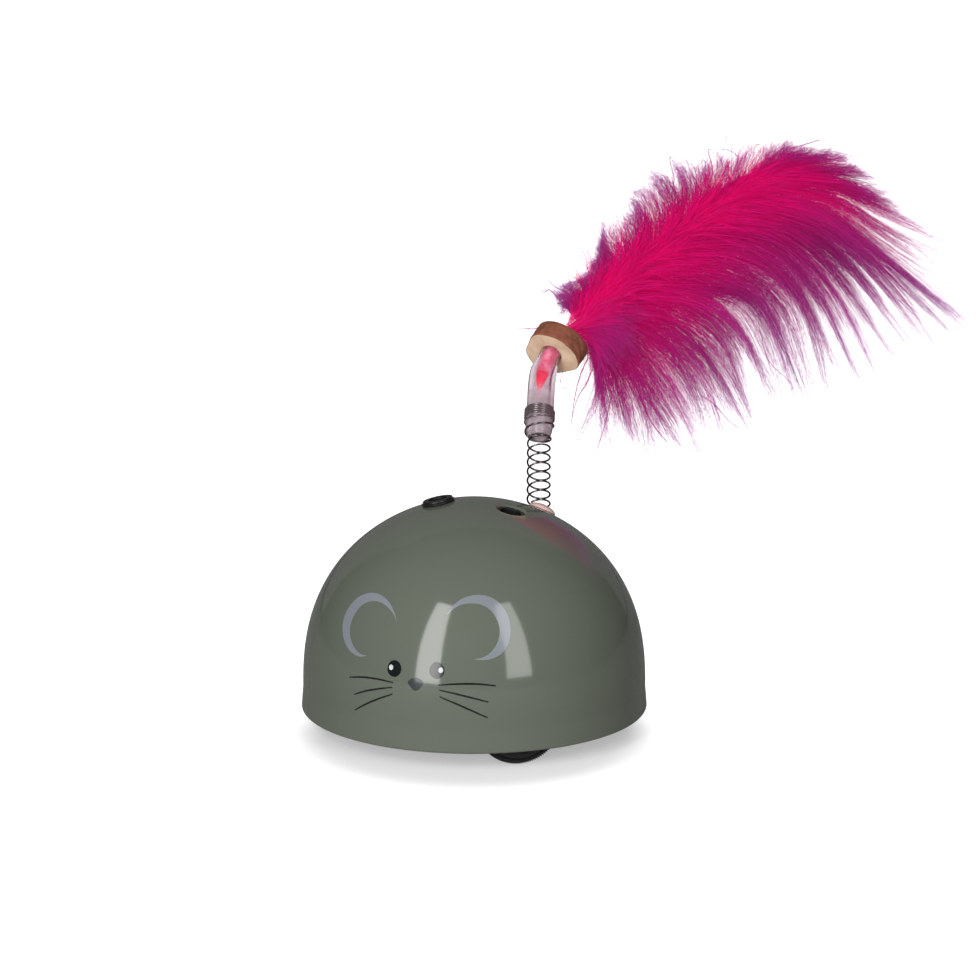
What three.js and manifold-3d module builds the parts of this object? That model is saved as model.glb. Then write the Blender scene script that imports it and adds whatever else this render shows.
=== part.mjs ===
import * as THREE from 'three';
import { mergeVertices } from 'three/addons/utils/BufferGeometryUtils.js';
import Module from 'manifold-3d';

// Electronic toy mouse: a domed shell on two driven wheels, with a feather on a spring tail.
// Lengths are in millimetres, +Z is up and the face looks along -Y.
// The origin lies on the dome's axis, in the plane of its rim.

const wasm = await Module();
wasm.setup();

// Fits and cuts shared by all pieces
const seatGap = 0.3;
const runningGap = 0.2;
const cutOverrun = 1;
const mergeDistance = 1e-4;
const halfTurn = Math.PI;
const fullTurn = 2 * Math.PI;
const quarterTurn = Math.PI / 2;

// Dome shell
const skirtTaper = 0.45;
const skirtHeight = 5.85;
const domeHeight = 57.4;
const domeWall = 1.9;
const rimRound = 0.5;
const domeWidthPower = 1.927;
const domeHeightPower = 2.419;
const domeSides = 48;
const domeOuterSteps = 12;
const domeInnerSteps = 6;

// Openings in the dome
const sensorSpacing = 21;
const sensorShift = 0.7;
const sensorSetback = 1.5;
const sensorHoleRadius = 3.85;
const sensorHoleBevel = 0.7;
const tailAcross = 12.2;
const tailBack = 21.4;
const tailHoleRadius = 3.2;

// Posts inside the dome
const casePostRadius = 3.1;
const casePostAngles = [65, 115, -35, 215];
const casePostWeb = 1.4;
const casePostWebFoot = 9;
const boardPostRadius = 2.5;
const boardPostInset = 4.5;

// Screws
const caseScrewShankRadius = 1.1;
const caseScrewHeadRadius = 2.6;
const caseScrewHeadHeight = 1.5;
const caseScrewLength = 11;
const boardScrewShankRadius = 0.8;
const boardScrewHeadRadius = 1.7;
const boardScrewHeadHeight = 1.2;
const boardScrewLength = 6;
const screwSlotWidth = 0.5;
const screwSlotDepth = 0.6;

// Base tray
const trayPlate = 2;
const trayRimHeight = 5;
const trayRimWall = 1.2;
const trayRimGap = 0.215;
const traySideGap = 0.45;
const screwCupWall = 1.2;
const screwCupFloor = 1.2;
const screwHeadSink = 0.4;

// Wheels and their place under the dome
const wheelAzimuth = 37;
const wheelRadius = 12.3;
const wheelWidth = 4.4;
const wheelSideGap = 1.25;
const axleHeight = 7;
const wheelWellGap = 0.6;
const tyreThickness = 1.4;
const tyreRidges = 60;
const tyreRidgeDepth = 0.35;
const hubRimWall = 1.3;
const hubWeb = 1.6;
const hubBossRadius = 2.9;
const hubHoles = 5;
const hubHoleRadius = 1.9;

// Gear train: each stage is a small gear that turns a large one
const gearModule = 0.5;
const smallTeeth = 8;
const largeTeeth = 22;
const pressureAngle = 20 * halfTurn / 180;
const addendumShare = 0.88;
const dedendumShare = 1.2;
const toothPlay = 0.14;
const gearCentrePlay = 0.12;
const gearWidth = 2;
const gearLayerGap = 0.35;
const stageDirections = [20, 10, -10];

// Axles and idler pins
const axleRadius = 1;
const axleHeadRadius = 2.1;
const axleHeadHeight = 0.8;
const idlerPinRadius = 0.75;
const idlerShoulderRadius = 1.25;

// Gear brackets
const bracketThickness = 1.4;
const bracketBayGap = 0.85;
const bracketCornerRound = 2.5;
const bracketMargin = 5;
const bracketBossRadius = 2;
const bracketRailWall = 1;
const bracketRailHeight = 1.5;

// Motors
const motorRadius = 7.75;
const motorFlatHeight = 12;
const motorLength = 18.5;
const motorCapLength = 2.6;
const motorBossRadius = 2.6;
const motorBossLength = 1.5;
const motorTailBossLength = 1.1;
const motorShaftRadius = 0.75;
const motorShaftBury = 4;
const motorTerminalWidth = 2.2;
const motorTerminalThickness = 0.4;
const motorTerminalLength = 2.4;
const motorMiddleGap = 2;
const motorSaddleWall = 1.4;

// Battery cells and their bay
const cellRadius = 5.25;
const cellLength = 44.5;
const cellNubRadius = 1.9;
const cellNubLength = 0.9;
const cellCount = 3;
const cellGap = 0.4;
const cellShoulder = 0.6;
const bayWall = 1.4;
const bayNearEdge = -1.2;
const bayCornerGap = 0.8;
const contactThickness = 0.5;
const contactHeight = 7;
const contactSpringRadius = 2.7;
const contactTipRadius = 1.5;
const contactSpringLength = 1.2;

// Battery door
const doorThickness = 1.6;
const doorGap = 0.3;
const doorEndLand = 1.25;
const doorCellGap = 0.6;
const doorTabWidth = 6;
const doorTabSpacing = 24;
const doorTabThickness = 0.8;
const doorTabNeck = 0.6;
const doorTabReach = 1.9;
const doorLatchWidth = 7;
const doorLatchSlot = 0.7;
const doorLatchSlotLength = 6;
const doorGripRadius = 9;
const doorGripDepth = 0.7;
const doorGripWidth = 9;

// Power switch
const switchMotorGap = 2.88;
const switchBodyLength = 9;
const switchBodyWidth = 4.4;
const switchBodyHeight = 4;
const switchWall = 0.9;
const switchTravel = 2.6;
const knobLength = 3;
const knobWidth = 2.2;
const knobProud = 0.7;
const knobRidges = 3;
const knobRidgeDepth = 0.25;

// Skids that keep the body level
const skidRadius = 1.6;
const skidLift = 0.7;
const skidSpacing = 9.8;
const skidBayGap = 1.7;
const skidShift = 9.2;

// Circuit board and what stands on it
const boardRadius = 18;
const boardThickness = 1.6;
const boardDepth = 14.4;
const emitterRadius = 2.5;
const emitterFlangeRadius = 2.9;
const emitterFlangeHeight = 1;
const emitterHeight = 7.4;
const receiverWidth = 5.8;
const receiverDepth = 4;
const receiverLensRadius = 1.9;
const receiverHeight = 7;
const chipLength = 9;
const chipWidth = 4;
const chipHeight = 1.6;

// Black ring in the left opening
const bezelFlangeOverlap = 0.7;
const bezelFlangeHeight = 0.5;
const bezelLipStep = 0.5;
const bezelLipHeight = 0.8;
const bezelBoreRadius = 2.5;
const bezelNeckDepth = 2.8;

// Black sleeve sunk in the right opening
const sleeveSink = 0.2;
const sleeveWall = 0.7;

// Tail plug, spring and tube
const plugFlangeOverlap = 0.75;
const plugHeight = 1.3;
const plugBarbOverlap = 0.35;
const plugBarbLength = 2.2;
const springCoilRadius = 3.15;
const springWire = 0.5;
const springPitch = 3.04;
const springFreeTurns = 7;
const springEntryTurns = 1;
const springEntryPitch = 5.5;
const springBandTurns = 3;
const springBandPitch = 1.2;
const springStartLag = 80;
const springStepsPerTurn = 8;
const wireSides = 5;
const springRouteFrames = 200;
const tubeRadius = 3.85;
const tubeLipRadius = 3.1;
const tubeNeckRadius = 2.9;
const tubeBore = 2.3;
const tubeLipLength = 3.5;
const tubeTaperLength = 4;
const tubeNeckLength = 1;
const tailReach = 100;

// Wood bead, quill and plume
const beadWidth = 16.2;
const beadDepth = 13.4;
const beadThickness = 7;
const beadUneven = 0.32;
const beadBevel = 0.3;
const quillTipLength = 6;
const quillRadius = 1.6;
const quillEndRadius = 0.4;
const quillBuryLength = 15.5;
const quillPlumeLength = 8;
const plumeReach = 115;
const plumeThickness = 7;
const plumeAzimuth = 19.4;
const plumeLean = 12.6;
const plumeStations = 23;
const plumeNotchShare = 0.16;

// Places on the tail's centre line, as shares of its reach, counted from the plug's seat
const tailRouteShares = [
  [-0.014, 0.016, 0.015],
  [-0.058, 0.148, 0.174],
  [-0.068, 0.182, 0.224],
  [-0.075, 0.211, 0.258],
  [-0.088, 0.264, 0.317],
  [-0.089, 0.285, 0.341],
  [-0.084, 0.318, 0.376],
  [-0.076, 0.358, 0.397],
  [-0.072, 0.391, 0.415],
  [-0.067, 0.417, 0.429],
];
// Where the slice's middle lies on that line, as a share of its length
const beadPlaceShare = 0.886;

// The plume's shaft in the plume's own plane, as shares of its reach: along it, up and away
const plumeSpineShares = [
  [0, 0, 0],
  [0.05, 0.043, 0.014],
  [0.104, 0.107, 0.04],
  [0.172, 0.176, 0.057],
  [0.225, 0.209, 0.066],
  [0.316, 0.283, 0.073],
  [0.422, 0.354, 0.08],
  [0.554, 0.403, 0.089],
  [0.695, 0.379, 0.104],
  [0.81, 0.305, 0.122],
  [0.902, 0.205, 0.144],
  [0.981, 0.079, 0.164],
];
// Its upper and lower edges, counted from the shaft: along and up
const plumeUpperShares = [
  [-0.008, 0.082],
  [-0.004, 0.143],
  [-0.007, 0.163],
  [0.014, 0.182],
  [0.03, 0.205],
  [0.032, 0.165],
  [0.041, 0.113],
  [0.023, 0.073],
  [-0.002, 0.074],
  [0.016, 0.055],
  [0.037, 0.025],
  [0.017, 0.018],
];
const plumeLowerShares = [
  [0.035, -0.046],
  [0.036, -0.22],
  [0.048, -0.371],
  [0.072, -0.453],
  [0.107, -0.474],
  [0.093, -0.483],
  [0.09, -0.515],
  [0.074, -0.526],
  [0.024, -0.476],
  [0.009, -0.344],
  [0.006, -0.201],
  [-0.011, -0.05],
];

const degrees = (angle) => angle * halfTurn / 180;

// The finishes, by colour, roughness and metalness
const finish = (color, roughness, metalness = 0, opacity = 1) =>
  new THREE.MeshStandardMaterial({ color, roughness, metalness, opacity, transparent: opacity < 1 });
const greyShell = finish(0x6c7268, 0.25);
const blackPlastic = finish(0x1e1e1c, 0.45);
const blackRubber = finish(0x1b1b19, 0.8);
const naturalNylon = finish(0xe6e2d6, 0.5);
const steel = finish(0x9a9a98, 0.3, 1);
const nickel = finish(0xb9b6ae, 0.3, 1);
const greenBoard = finish(0x1f5a36, 0.45);
const darkLens = finish(0x3a0d12, 0.15);
const cellWrap = finish(0x3f4a57, 0.35, 0.2);
const pinkSilicone = finish(0xe3b9b3, 0.4, 0, 0.85);
const clearVinyl = finish(0xc9bcc0, 0.2, 0, 0.6);
const beadWood = finish(0xd0ae87, 0.7);
const pinkQuill = finish(0xe77fa6, 0.4);
const magentaPlume = finish(0xb01a72, 0.9);

// A closed triangle mesh as a solid that can be joined and cut
function solid(geometry) {
  geometry.deleteAttribute('normal');
  geometry.deleteAttribute('uv');
  const merged = mergeVertices(geometry, mergeDistance);
  return new wasm.Manifold(new wasm.Mesh({
    numProp: 3,
    vertProperties: merged.attributes.position.array,
    triVerts: new Uint32Array(merged.index.array),
  }));
}

function geometryOf(shape) {
  const mesh = shape.getMesh();
  const geometry = new THREE.BufferGeometry();
  geometry.setAttribute('position', new THREE.BufferAttribute(new Float32Array(mesh.vertProperties), 3));
  geometry.setIndex(new THREE.BufferAttribute(new Uint32Array(mesh.triVerts), 1));
  geometry.computeVertexNormals();
  return geometry;
}

function joined(...shapes) {
  return shapes.reduce((whole, shape) => whole.add(shape));
}

// A profile of radius and height pairs, listed with the outside on its right hand, turned about Z
function turned(profile, sides) {
  const points = profile.map(([radius, height]) => new THREE.Vector2(radius, height));
  const geometry = new THREE.LatheGeometry(points, sides);
  geometry.rotateX(quarterTurn);
  return solid(geometry);
}

function rod(radius, from, to, sides = 16) {
  return turned([[0, from], [radius, from], [radius, to], [0, to]], sides);
}

function block([left, right], [near, far], [low, high]) {
  const geometry = new THREE.BoxGeometry(right - left, far - near, high - low);
  geometry.translate((left + right) / 2, (near + far) / 2, (low + high) / 2);
  return solid(geometry);
}

function plate(shape, thickness, curveSegments = 8) {
  return solid(new THREE.ExtrudeGeometry(shape, { depth: thickness, bevelEnabled: false, curveSegments }));
}

// A rectangle with round corners, from its two opposite corners
function roundedRectangle([left, right], [near, far], corner) {
  const shape = new THREE.Shape();
  shape.moveTo(left + corner, near);
  shape.lineTo(right - corner, near);
  shape.absarc(right - corner, near + corner, corner, -quarterTurn, 0);
  shape.lineTo(right, far - corner);
  shape.absarc(right - corner, far - corner, corner, 0, quarterTurn);
  shape.lineTo(left + corner, far);
  shape.absarc(left + corner, far - corner, corner, quarterTurn, halfTurn);
  shape.lineTo(left, near + corner);
  shape.absarc(left + corner, near + corner, corner, halfTurn, halfTurn + quarterTurn);
  return shape;
}

// Rings of equally many points, one after the other, closed into one skin with flat ends
function loft(rings) {
  const sides = rings[0].length;
  const positions = rings.flat().flatMap((point) => [point.x, point.y, point.z]);
  const triangles = [];
  for (let row = 0; row + 1 < rings.length; row++) {
    for (let side = 0; side < sides; side++) {
      const here = row * sides + side;
      const next = row * sides + (side + 1) % sides;
      triangles.push(here, next, next + sides, here, next + sides, here + sides);
    }
  }
  const last = (rings.length - 1) * sides;
  for (let side = 1; side + 1 < sides; side++) {
    triangles.push(0, side + 1, side);
    triangles.push(last, last + side, last + side + 1);
  }
  const geometry = new THREE.BufferGeometry();
  geometry.setAttribute('position', new THREE.Float32BufferAttribute(positions, 3));
  geometry.setIndex(triangles);
  return geometry;
}

// Circles about a path's points, turning from one to the next with no twist
function circlesAlong(points, radiusAt, sides) {
  const tangents = points.map((point, index) => {
    const before = points[Math.max(index - 1, 0)];
    const after = points[Math.min(index + 1, points.length - 1)];
    return after.clone().sub(before).normalize();
  });
  const across = new THREE.Vector3(1, 0, 0);
  return points.map((point, index) => {
    across.addScaledVector(tangents[index], -across.dot(tangents[index])).normalize();
    const upward = new THREE.Vector3().crossVectors(tangents[index], across);
    const radius = radiusAt(index / (points.length - 1));
    return Array.from({ length: sides }, (_, side) => {
      const angle = fullTurn * side / sides;
      return point.clone()
        .addScaledVector(across, radius * Math.cos(angle))
        .addScaledVector(upward, radius * Math.sin(angle));
    });
  });
}

const toy = new THREE.Group();

function piece(parent, name, geometry, material) {
  const mesh = new THREE.Mesh(geometry, material);
  mesh.name = name;
  parent.add(mesh);
  return mesh;
}

// The inner works set the dome's width: the cells, the motors, the gears and the wheels come first
const cellPitch = 2 * cellRadius + cellGap;
const lastCellMiddle = bayWall - bayNearEdge + cellPitch * (cellCount - 1 / 2);
const bayHalfLength = cellLength / 2 + contactSpringLength + contactThickness + 2 * seatGap;
const cellCorner = Math.hypot(cellLength / 2 - cellNubLength, lastCellMiddle + cellRadius);
const contactCorner = Math.hypot(bayHalfLength - seatGap, lastCellMiddle + contactSpringRadius);
const bayCornerRadius = Math.max(cellCorner, contactCorner) + bayCornerGap + bayWall;
const motorReach = motorMiddleGap + motorTerminalLength + motorLength + seatGap;
const bracketInnerFace = Math.max(bayHalfLength + bayWall + bracketBayGap, motorReach);
const bracketOuterFace = bracketInnerFace + bracketThickness;
const motorFace = bracketInnerFace - seatGap;

// The layers in which the three gear meshes lie, counted from the bracket outwards
const layerStart = [0, 1, 2].map((layer) =>
  bracketOuterFace + gearLayerGap + layer * (gearWidth + gearLayerGap));
const wheelInnerFace = layerStart[2] + gearWidth + wheelSideGap;
const wellCorner = Math.hypot(wheelInnerFace + wheelWidth + wheelWellGap, wheelRadius);
const trayRadius = Math.max(wellCorner, bayCornerRadius) + trayRimGap + trayRimWall;
const skirtTopRadius = trayRadius + traySideGap + domeWall;
const domeRimRadius = skirtTopRadius + skirtTaper;
const casePostCircle = trayRadius - trayRimWall - caseScrewHeadRadius - seatGap - screwCupWall;
const boardHeight = domeHeight - boardDepth;
const boardPostSpacing = 2 * (boardRadius - boardPostInset);

// The dome's outer face, and faces set in from it, are rounded between a circle and a square
function domeHeightAt(radius, inset) {
  const reach = skirtTopRadius - inset;
  const rise = domeHeight - inset - skirtHeight;
  return skirtHeight + rise * (1 - (radius / reach) ** domeWidthPower) ** (1 / domeHeightPower);
}

function domeNormalAt(x, y) {
  const radius = Math.hypot(x, y);
  const rise = domeHeight - skirtHeight;
  const height = domeHeightAt(radius, 0) - skirtHeight;
  const outward = domeWidthPower * (radius / skirtTopRadius) ** (domeWidthPower - 1) / skirtTopRadius;
  const upward = domeHeightPower * (height / rise) ** (domeHeightPower - 1) / rise;
  return new THREE.Vector3(x / radius * outward, y / radius * outward, upward).normalize();
}

function domeCurve(inset, steps) {
  const reach = skirtTopRadius - inset;
  const rise = domeHeight - inset - skirtHeight;
  return Array.from({ length: steps + 1 }, (_, step) => {
    const angle = quarterTurn * step / steps;
    const radius = step === steps ? 0 : reach * Math.cos(angle) ** (2 / domeWidthPower);
    return [radius, skirtHeight + rise * Math.sin(angle) ** (2 / domeHeightPower)];
  });
}

function domeFilled(inset) {
  return turned([[0, 0], [domeRimRadius - inset, 0], ...domeCurve(inset, domeOuterSteps)], domeSides);
}

// A group whose origin lies on the dome's outer face at x and y, with its Z axis along the face's normal
function seatOnDome(x, y) {
  const seat = new THREE.Group();
  seat.position.set(x, y, domeHeightAt(Math.hypot(x, y), 0));
  seat.quaternion.setFromUnitVectors(new THREE.Vector3(0, 0, 1), domeNormalAt(x, y));
  seat.updateMatrix();
  toy.add(seat);
  return seat;
}

const emitterPlace = sensorShift - sensorSpacing / 2;
const receiverPlace = sensorShift + sensorSpacing / 2;
const emitterSeat = seatOnDome(emitterPlace, -sensorSetback);
const receiverSeat = seatOnDome(receiverPlace, -sensorSetback);
const tailSeat = seatOnDome(tailAcross, tailBack);

const baseTurn = degrees(wheelAzimuth) - quarterTurn;
const boardTop = boardHeight + boardThickness;
const caseScrewFloor = screwHeadSink + caseScrewHeadHeight + seatGap;
const casePostFoot = caseScrewFloor + screwCupFloor + seatGap;
const casePilotRadius = caseScrewShankRadius + runningGap;
const boardPilotRadius = boardScrewShankRadius + runningGap;

function domeShell() {
  const inner = domeCurve(domeWall, domeInnerSteps).reverse();
  const profile = [
    ...inner,
    [domeRimRadius - domeWall, 0],
    [domeRimRadius - rimRound, 0],
    [domeRimRadius, rimRound],
    ...domeCurve(0, domeOuterSteps),
  ];
  let shell = turned(profile, domeSides);
  const withinWall = domeFilled(domeWall / 2);
  for (const angle of casePostAngles) {
    const turn = baseTurn + degrees(angle);
    const post = rod(casePostRadius, casePostFoot, domeHeight, 16).translate([casePostCircle, 0, 0]);
    const web = block([casePostCircle, domeRimRadius], [-casePostWeb / 2, casePostWeb / 2],
      [casePostWebFoot, domeHeight]);
    const pilot = rod(casePilotRadius, casePostFoot - cutOverrun, casePostFoot + caseScrewLength, 12)
      .translate([casePostCircle, 0, 0]);
    const whole = post.add(web).intersect(withinWall).subtract(pilot);
    shell = shell.add(whole.rotate([0, 0, turn * 180 / halfTurn]));
  }
  for (const side of [-1, 1]) {
    const foot = boardTop + seatGap;
    const post = rod(boardPostRadius, foot, domeHeight, 14).intersect(withinWall);
    const pilot = rod(boardPilotRadius, foot - cutOverrun, foot + boardScrewLength, 10);
    shell = shell.add(post.translate([0, side * boardPostSpacing / 2, 0])
      .intersect(withinWall)
      .subtract(pilot.translate([0, side * boardPostSpacing / 2, 0])));
  }
  const deep = 2 * domeWall;
  const sensorHole = rod(sensorHoleRadius, -deep, cutOverrun, 28);
  const bevel = turned([
    [0, -sensorHoleBevel],
    [sensorHoleRadius, -sensorHoleBevel],
    [sensorHoleRadius + sensorHoleBevel, 0],
    [sensorHoleRadius + sensorHoleBevel, cutOverrun],
    [0, cutOverrun],
  ], 28);
  const tailHole = rod(tailHoleRadius, -deep, cutOverrun, 24);
  shell = shell.subtract(sensorHole.transform(emitterSeat.matrix.elements));
  shell = shell.subtract(sensorHole.add(bevel).transform(receiverSeat.matrix.elements));
  shell = shell.subtract(tailHole.transform(tailSeat.matrix.elements));
  return geometryOf(shell);
}

piece(toy, 'dome_shell', domeShell(), greyShell);

// Black ring that lines the left opening and stands proud of the dome
const bezelFlangeRadius = sensorHoleRadius + bezelFlangeOverlap;
const bezelLipRadius = bezelFlangeRadius - bezelLipStep;
piece(emitterSeat, 'sensor_ring', geometryOf(turned([
  [bezelBoreRadius, -bezelNeckDepth],
  [sensorHoleRadius - seatGap, -bezelNeckDepth],
  [sensorHoleRadius - seatGap, seatGap],
  [bezelFlangeRadius, seatGap],
  [bezelFlangeRadius, seatGap + bezelFlangeHeight],
  [bezelLipRadius, seatGap + bezelFlangeHeight],
  [bezelLipRadius, seatGap + bezelFlangeHeight + bezelLipHeight],
  [bezelBoreRadius, seatGap + bezelFlangeHeight + bezelLipHeight],
  [bezelBoreRadius, -bezelNeckDepth],
], 28)), blackPlastic);

// Black sleeve that lines the right opening below its bevel
const sleeveRadius = sensorHoleRadius - seatGap;
const sleeveTop = -sensorHoleBevel - sleeveSink;
piece(receiverSeat, 'sensor_sleeve', geometryOf(turned([
  [sleeveRadius - sleeveWall, -bezelNeckDepth],
  [sleeveRadius, -bezelNeckDepth],
  [sleeveRadius, sleeveTop],
  [sleeveRadius - sleeveWall, sleeveTop],
  [sleeveRadius - sleeveWall, -bezelNeckDepth],
], 28)), blackPlastic);

// Circuit board, hung from two posts of the dome, with the sensor pair under the two openings
const boardScrewTop = boardTop + seatGap;
const boardWithHoles = [-1, 1].reduce(
  (board, side) => board.subtract(
    rod(boardPilotRadius, boardHeight - cutOverrun, boardTop + cutOverrun, 12)
      .translate([0, side * boardPostSpacing / 2, 0])),
  rod(boardRadius, boardHeight, boardTop, 40));
piece(toy, 'circuit_board', geometryOf(boardWithHoles), greenBoard);

const emitterFoot = boardTop + seatGap;
const emitterSides = 20;
const emitterDome = Array.from({ length: 5 }, (_, step) => {
  const angle = quarterTurn * step / 4;
  const shoulder = emitterFoot + emitterHeight - emitterRadius;
  return [step === 4 ? 0 : emitterRadius * Math.cos(angle), shoulder + emitterRadius * Math.sin(angle)];
});
const emitter = turned([
  [0, emitterFoot],
  [emitterFlangeRadius, emitterFoot],
  [emitterFlangeRadius, emitterFoot + emitterFlangeHeight],
  [emitterRadius, emitterFoot + emitterFlangeHeight],
  ...emitterDome,
], emitterSides);
piece(toy, 'infrared_emitter', geometryOf(emitter), darkLens)
  .position.set(emitterPlace, -sensorSetback, 0);

const receiverTop = emitterFoot + receiverHeight;
const receiverLens = rod(receiverLensRadius, 0, receiverTop - emitterFoot, 18)
  .translate([0, -receiverDepth / 2, emitterFoot]);
const receiver = block([-receiverWidth / 2, receiverWidth / 2], [-receiverDepth / 2, receiverDepth / 2],
  [emitterFoot, receiverTop]).add(receiverLens);
piece(toy, 'infrared_receiver', geometryOf(receiver), darkLens)
  .position.set(receiverPlace, -sensorSetback, 0);

piece(toy, 'controller_chip', geometryOf(block([-chipWidth / 2, chipWidth / 2],
  [-chipLength / 2, chipLength / 2], [emitterFoot, emitterFoot + chipHeight])), blackPlastic);

function screw(shank, head, headHeight, length) {
  const shape = turned([
    [0, 0],
    [head, 0],
    [head, headHeight],
    [shank, headHeight],
    [shank, headHeight + length - shank],
    [0, headHeight + length],
  ], 16);
  const driver = block([-head, head], [-screwSlotWidth / 2, screwSlotWidth / 2],
    [-cutOverrun, screwSlotDepth]);
  const crossing = block([-screwSlotWidth / 2, screwSlotWidth / 2], [-head / 2, head / 2],
    [-cutOverrun, screwSlotDepth]);
  const bounded = driver.intersect(rod(head / 2, -cutOverrun, screwSlotDepth, 12));
  return geometryOf(shape.subtract(bounded).subtract(crossing));
}

for (const side of [-1, 1]) {
  const name = side < 0 ? 'board_screw_front' : 'board_screw_back';
  const length = boardThickness + boardScrewLength - boardScrewShankRadius;
  piece(toy, name, screw(boardScrewShankRadius, boardScrewHeadRadius, boardScrewHeadHeight, length), steel)
    .position.set(0, side * boardPostSpacing / 2, boardHeight - seatGap - boardScrewHeadHeight);
}

// Everything that turns with the wheels' axis: its X axis lies along the axle
const base = new THREE.Group();
base.rotation.z = baseTurn;
toy.add(base);

const wellHalfLength = wheelRadius;
const cellHeight = doorThickness + doorCellGap + cellRadius;
const bayFarEdge = bayNearEdge - 2 * bayWall - cellCount * cellPitch;
const bayRoof = cellHeight + cellRadius + seatGap;
const doorNearEdge = bayNearEdge - bayWall - 2 * doorGap;
const doorFarEdge = bayFarEdge + bayWall;
const tabLow = trayPlate + runningGap;
const switchFloor = trayPlate + seatGap;
const motorAxis = {};
const stageAxes = [[0, axleHeight]];
const gearCentres = gearModule * (smallTeeth + largeTeeth) / 2 + gearCentrePlay;
for (const direction of stageDirections) {
  const [across, height] = stageAxes[stageAxes.length - 1];
  stageAxes.push([
    across + gearCentres * Math.cos(degrees(direction)),
    height + gearCentres * Math.sin(degrees(direction)),
  ]);
}
[motorAxis.across, motorAxis.height] = stageAxes[stageAxes.length - 1];
const switchSetback = motorAxis.across + motorRadius + switchMotorGap + switchBodyWidth / 2;
const doorLength = 2 * (bayHalfLength - doorEndLand);
const skidSetback = skidBayGap + skidRadius - bayFarEdge;
const largeTip = gearModule * (largeTeeth / 2 + addendumShare);
const gearWellHalfLength = Math.sqrt(largeTip ** 2 - (axleHeight - trayPlate) ** 2) + wheelWellGap;

function trayShell() {
  let tray = turned([
    [0, 0],
    [trayRadius, 0],
    [trayRadius, trayRimHeight],
    [trayRadius - trayRimWall, trayRimHeight],
    [trayRadius - trayRimWall, trayPlate],
    [0, trayPlate],
  ], domeSides);
  const bay = block([-bayHalfLength - bayWall, bayHalfLength + bayWall], [bayFarEdge, bayNearEdge],
    [0, bayRoof + bayWall]).intersect(rod(bayCornerRadius, 0, bayRoof + bayWall, domeSides));
  tray = tray.add(bay);

  for (const angle of casePostAngles) {
    const place = [
      casePostCircle * Math.cos(degrees(angle)),
      casePostCircle * Math.sin(degrees(angle)),
      0,
    ];
    const recess = caseScrewHeadRadius + seatGap;
    const cup = rod(recess + screwCupWall, 0, caseScrewFloor + screwCupFloor, 18);
    const bore = rod(recess, -cutOverrun, caseScrewFloor, 18)
      .add(rod(casePilotRadius, -cutOverrun, caseScrewFloor + screwCupFloor + cutOverrun, 12));
    tray = tray.add(cup.translate(place)).subtract(bore.translate(place));
  }

  const railFoot = trayPlate / 2;
  const railTop = trayPlate + bracketRailHeight;
  const railSpan = [stageAxes[1][0] - bracketMargin, stageAxes[3][0] + bracketMargin];
  for (const side of [-1, 1]) {
    const rail = (from) => block([from, from + bracketRailWall], railSpan, [railFoot, railTop]);
    const railPair = rail(bracketInnerFace - seatGap - bracketRailWall).add(rail(bracketOuterFace + seatGap));
    const saddleTop = motorAxis.height - motorFlatHeight / 2 - seatGap;
    const saddleSpan = [motorAxis.across - motorRadius / 2, motorAxis.across + motorRadius / 2];
    const saddle = (share) => {
      const middle = motorFace - share * motorLength;
      return block([middle - motorSaddleWall / 2, middle + motorSaddleWall / 2], saddleSpan,
        [railFoot, saddleTop]);
    };
    const left = joined(railPair, saddle(1 / 4), saddle(3 / 4));
    tray = tray.add(side > 0 ? left : left.mirror([1, 0, 0]));
    const well = block(
      [wheelInnerFace - wheelWellGap, wheelInnerFace + wheelWidth + wheelWellGap],
      [-wellHalfLength, wellHalfLength], [-cutOverrun, trayPlate + cutOverrun]);
    const gearWell = block(
      [layerStart[2] - wheelWellGap, wheelInnerFace],
      [-gearWellHalfLength, gearWellHalfLength], [-cutOverrun, trayPlate + cutOverrun]);
    const wells = well.add(gearWell);
    tray = tray.subtract(side > 0 ? wells : wells.mirror([1, 0, 0]));
    for (const end of [-1, 1]) {
      const skidLength = wheelRadius - axleHeight - skidLift;
      const skid = turned([
        [0, -skidLength],
        [skidRadius / 2, -skidLength],
        [skidRadius, skidRadius / 2 - skidLength],
        [skidRadius, trayPlate / 2],
        [0, trayPlate / 2],
      ], 14);
      const shift = end < 0 ? -skidShift : 0;
      tray = tray.add(skid.translate([shift + side * skidSpacing / 2, end * skidSetback, 0]));
    }
  }

  const room = block([-bayHalfLength, bayHalfLength], [bayFarEdge + bayWall, bayNearEdge - bayWall],
    [trayPlate, bayRoof]).intersect(rod(bayCornerRadius - bayWall, 0, bayRoof, domeSides));
  const doorway = block([-doorLength / 2 - doorGap, doorLength / 2 + doorGap],
    [doorFarEdge - doorGap, doorNearEdge + doorGap], [-cutOverrun, trayPlate + cutOverrun]);
  tray = tray.subtract(room).subtract(doorway);
  for (const side of [-1, 1]) {
    const middle = side * doorTabSpacing / 2;
    const reach = doorTabWidth / 2 + 2 * seatGap;
    tray = tray.subtract(block([middle - reach, middle + reach],
      [bayNearEdge - bayWall - cutOverrun, bayNearEdge + cutOverrun],
      [trayPlate, tabLow + doorTabThickness + doorTabReach]));
  }
  const slotHalf = (knobLength + switchTravel) / 2 + seatGap;
  tray = tray.subtract(block([-slotHalf, slotHalf],
    [switchSetback - knobWidth / 2 - seatGap, switchSetback + knobWidth / 2 + seatGap],
    [-cutOverrun, trayPlate + cutOverrun]));
  return geometryOf(tray);
}

piece(base, 'base_tray', trayShell(), blackPlastic);

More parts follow.
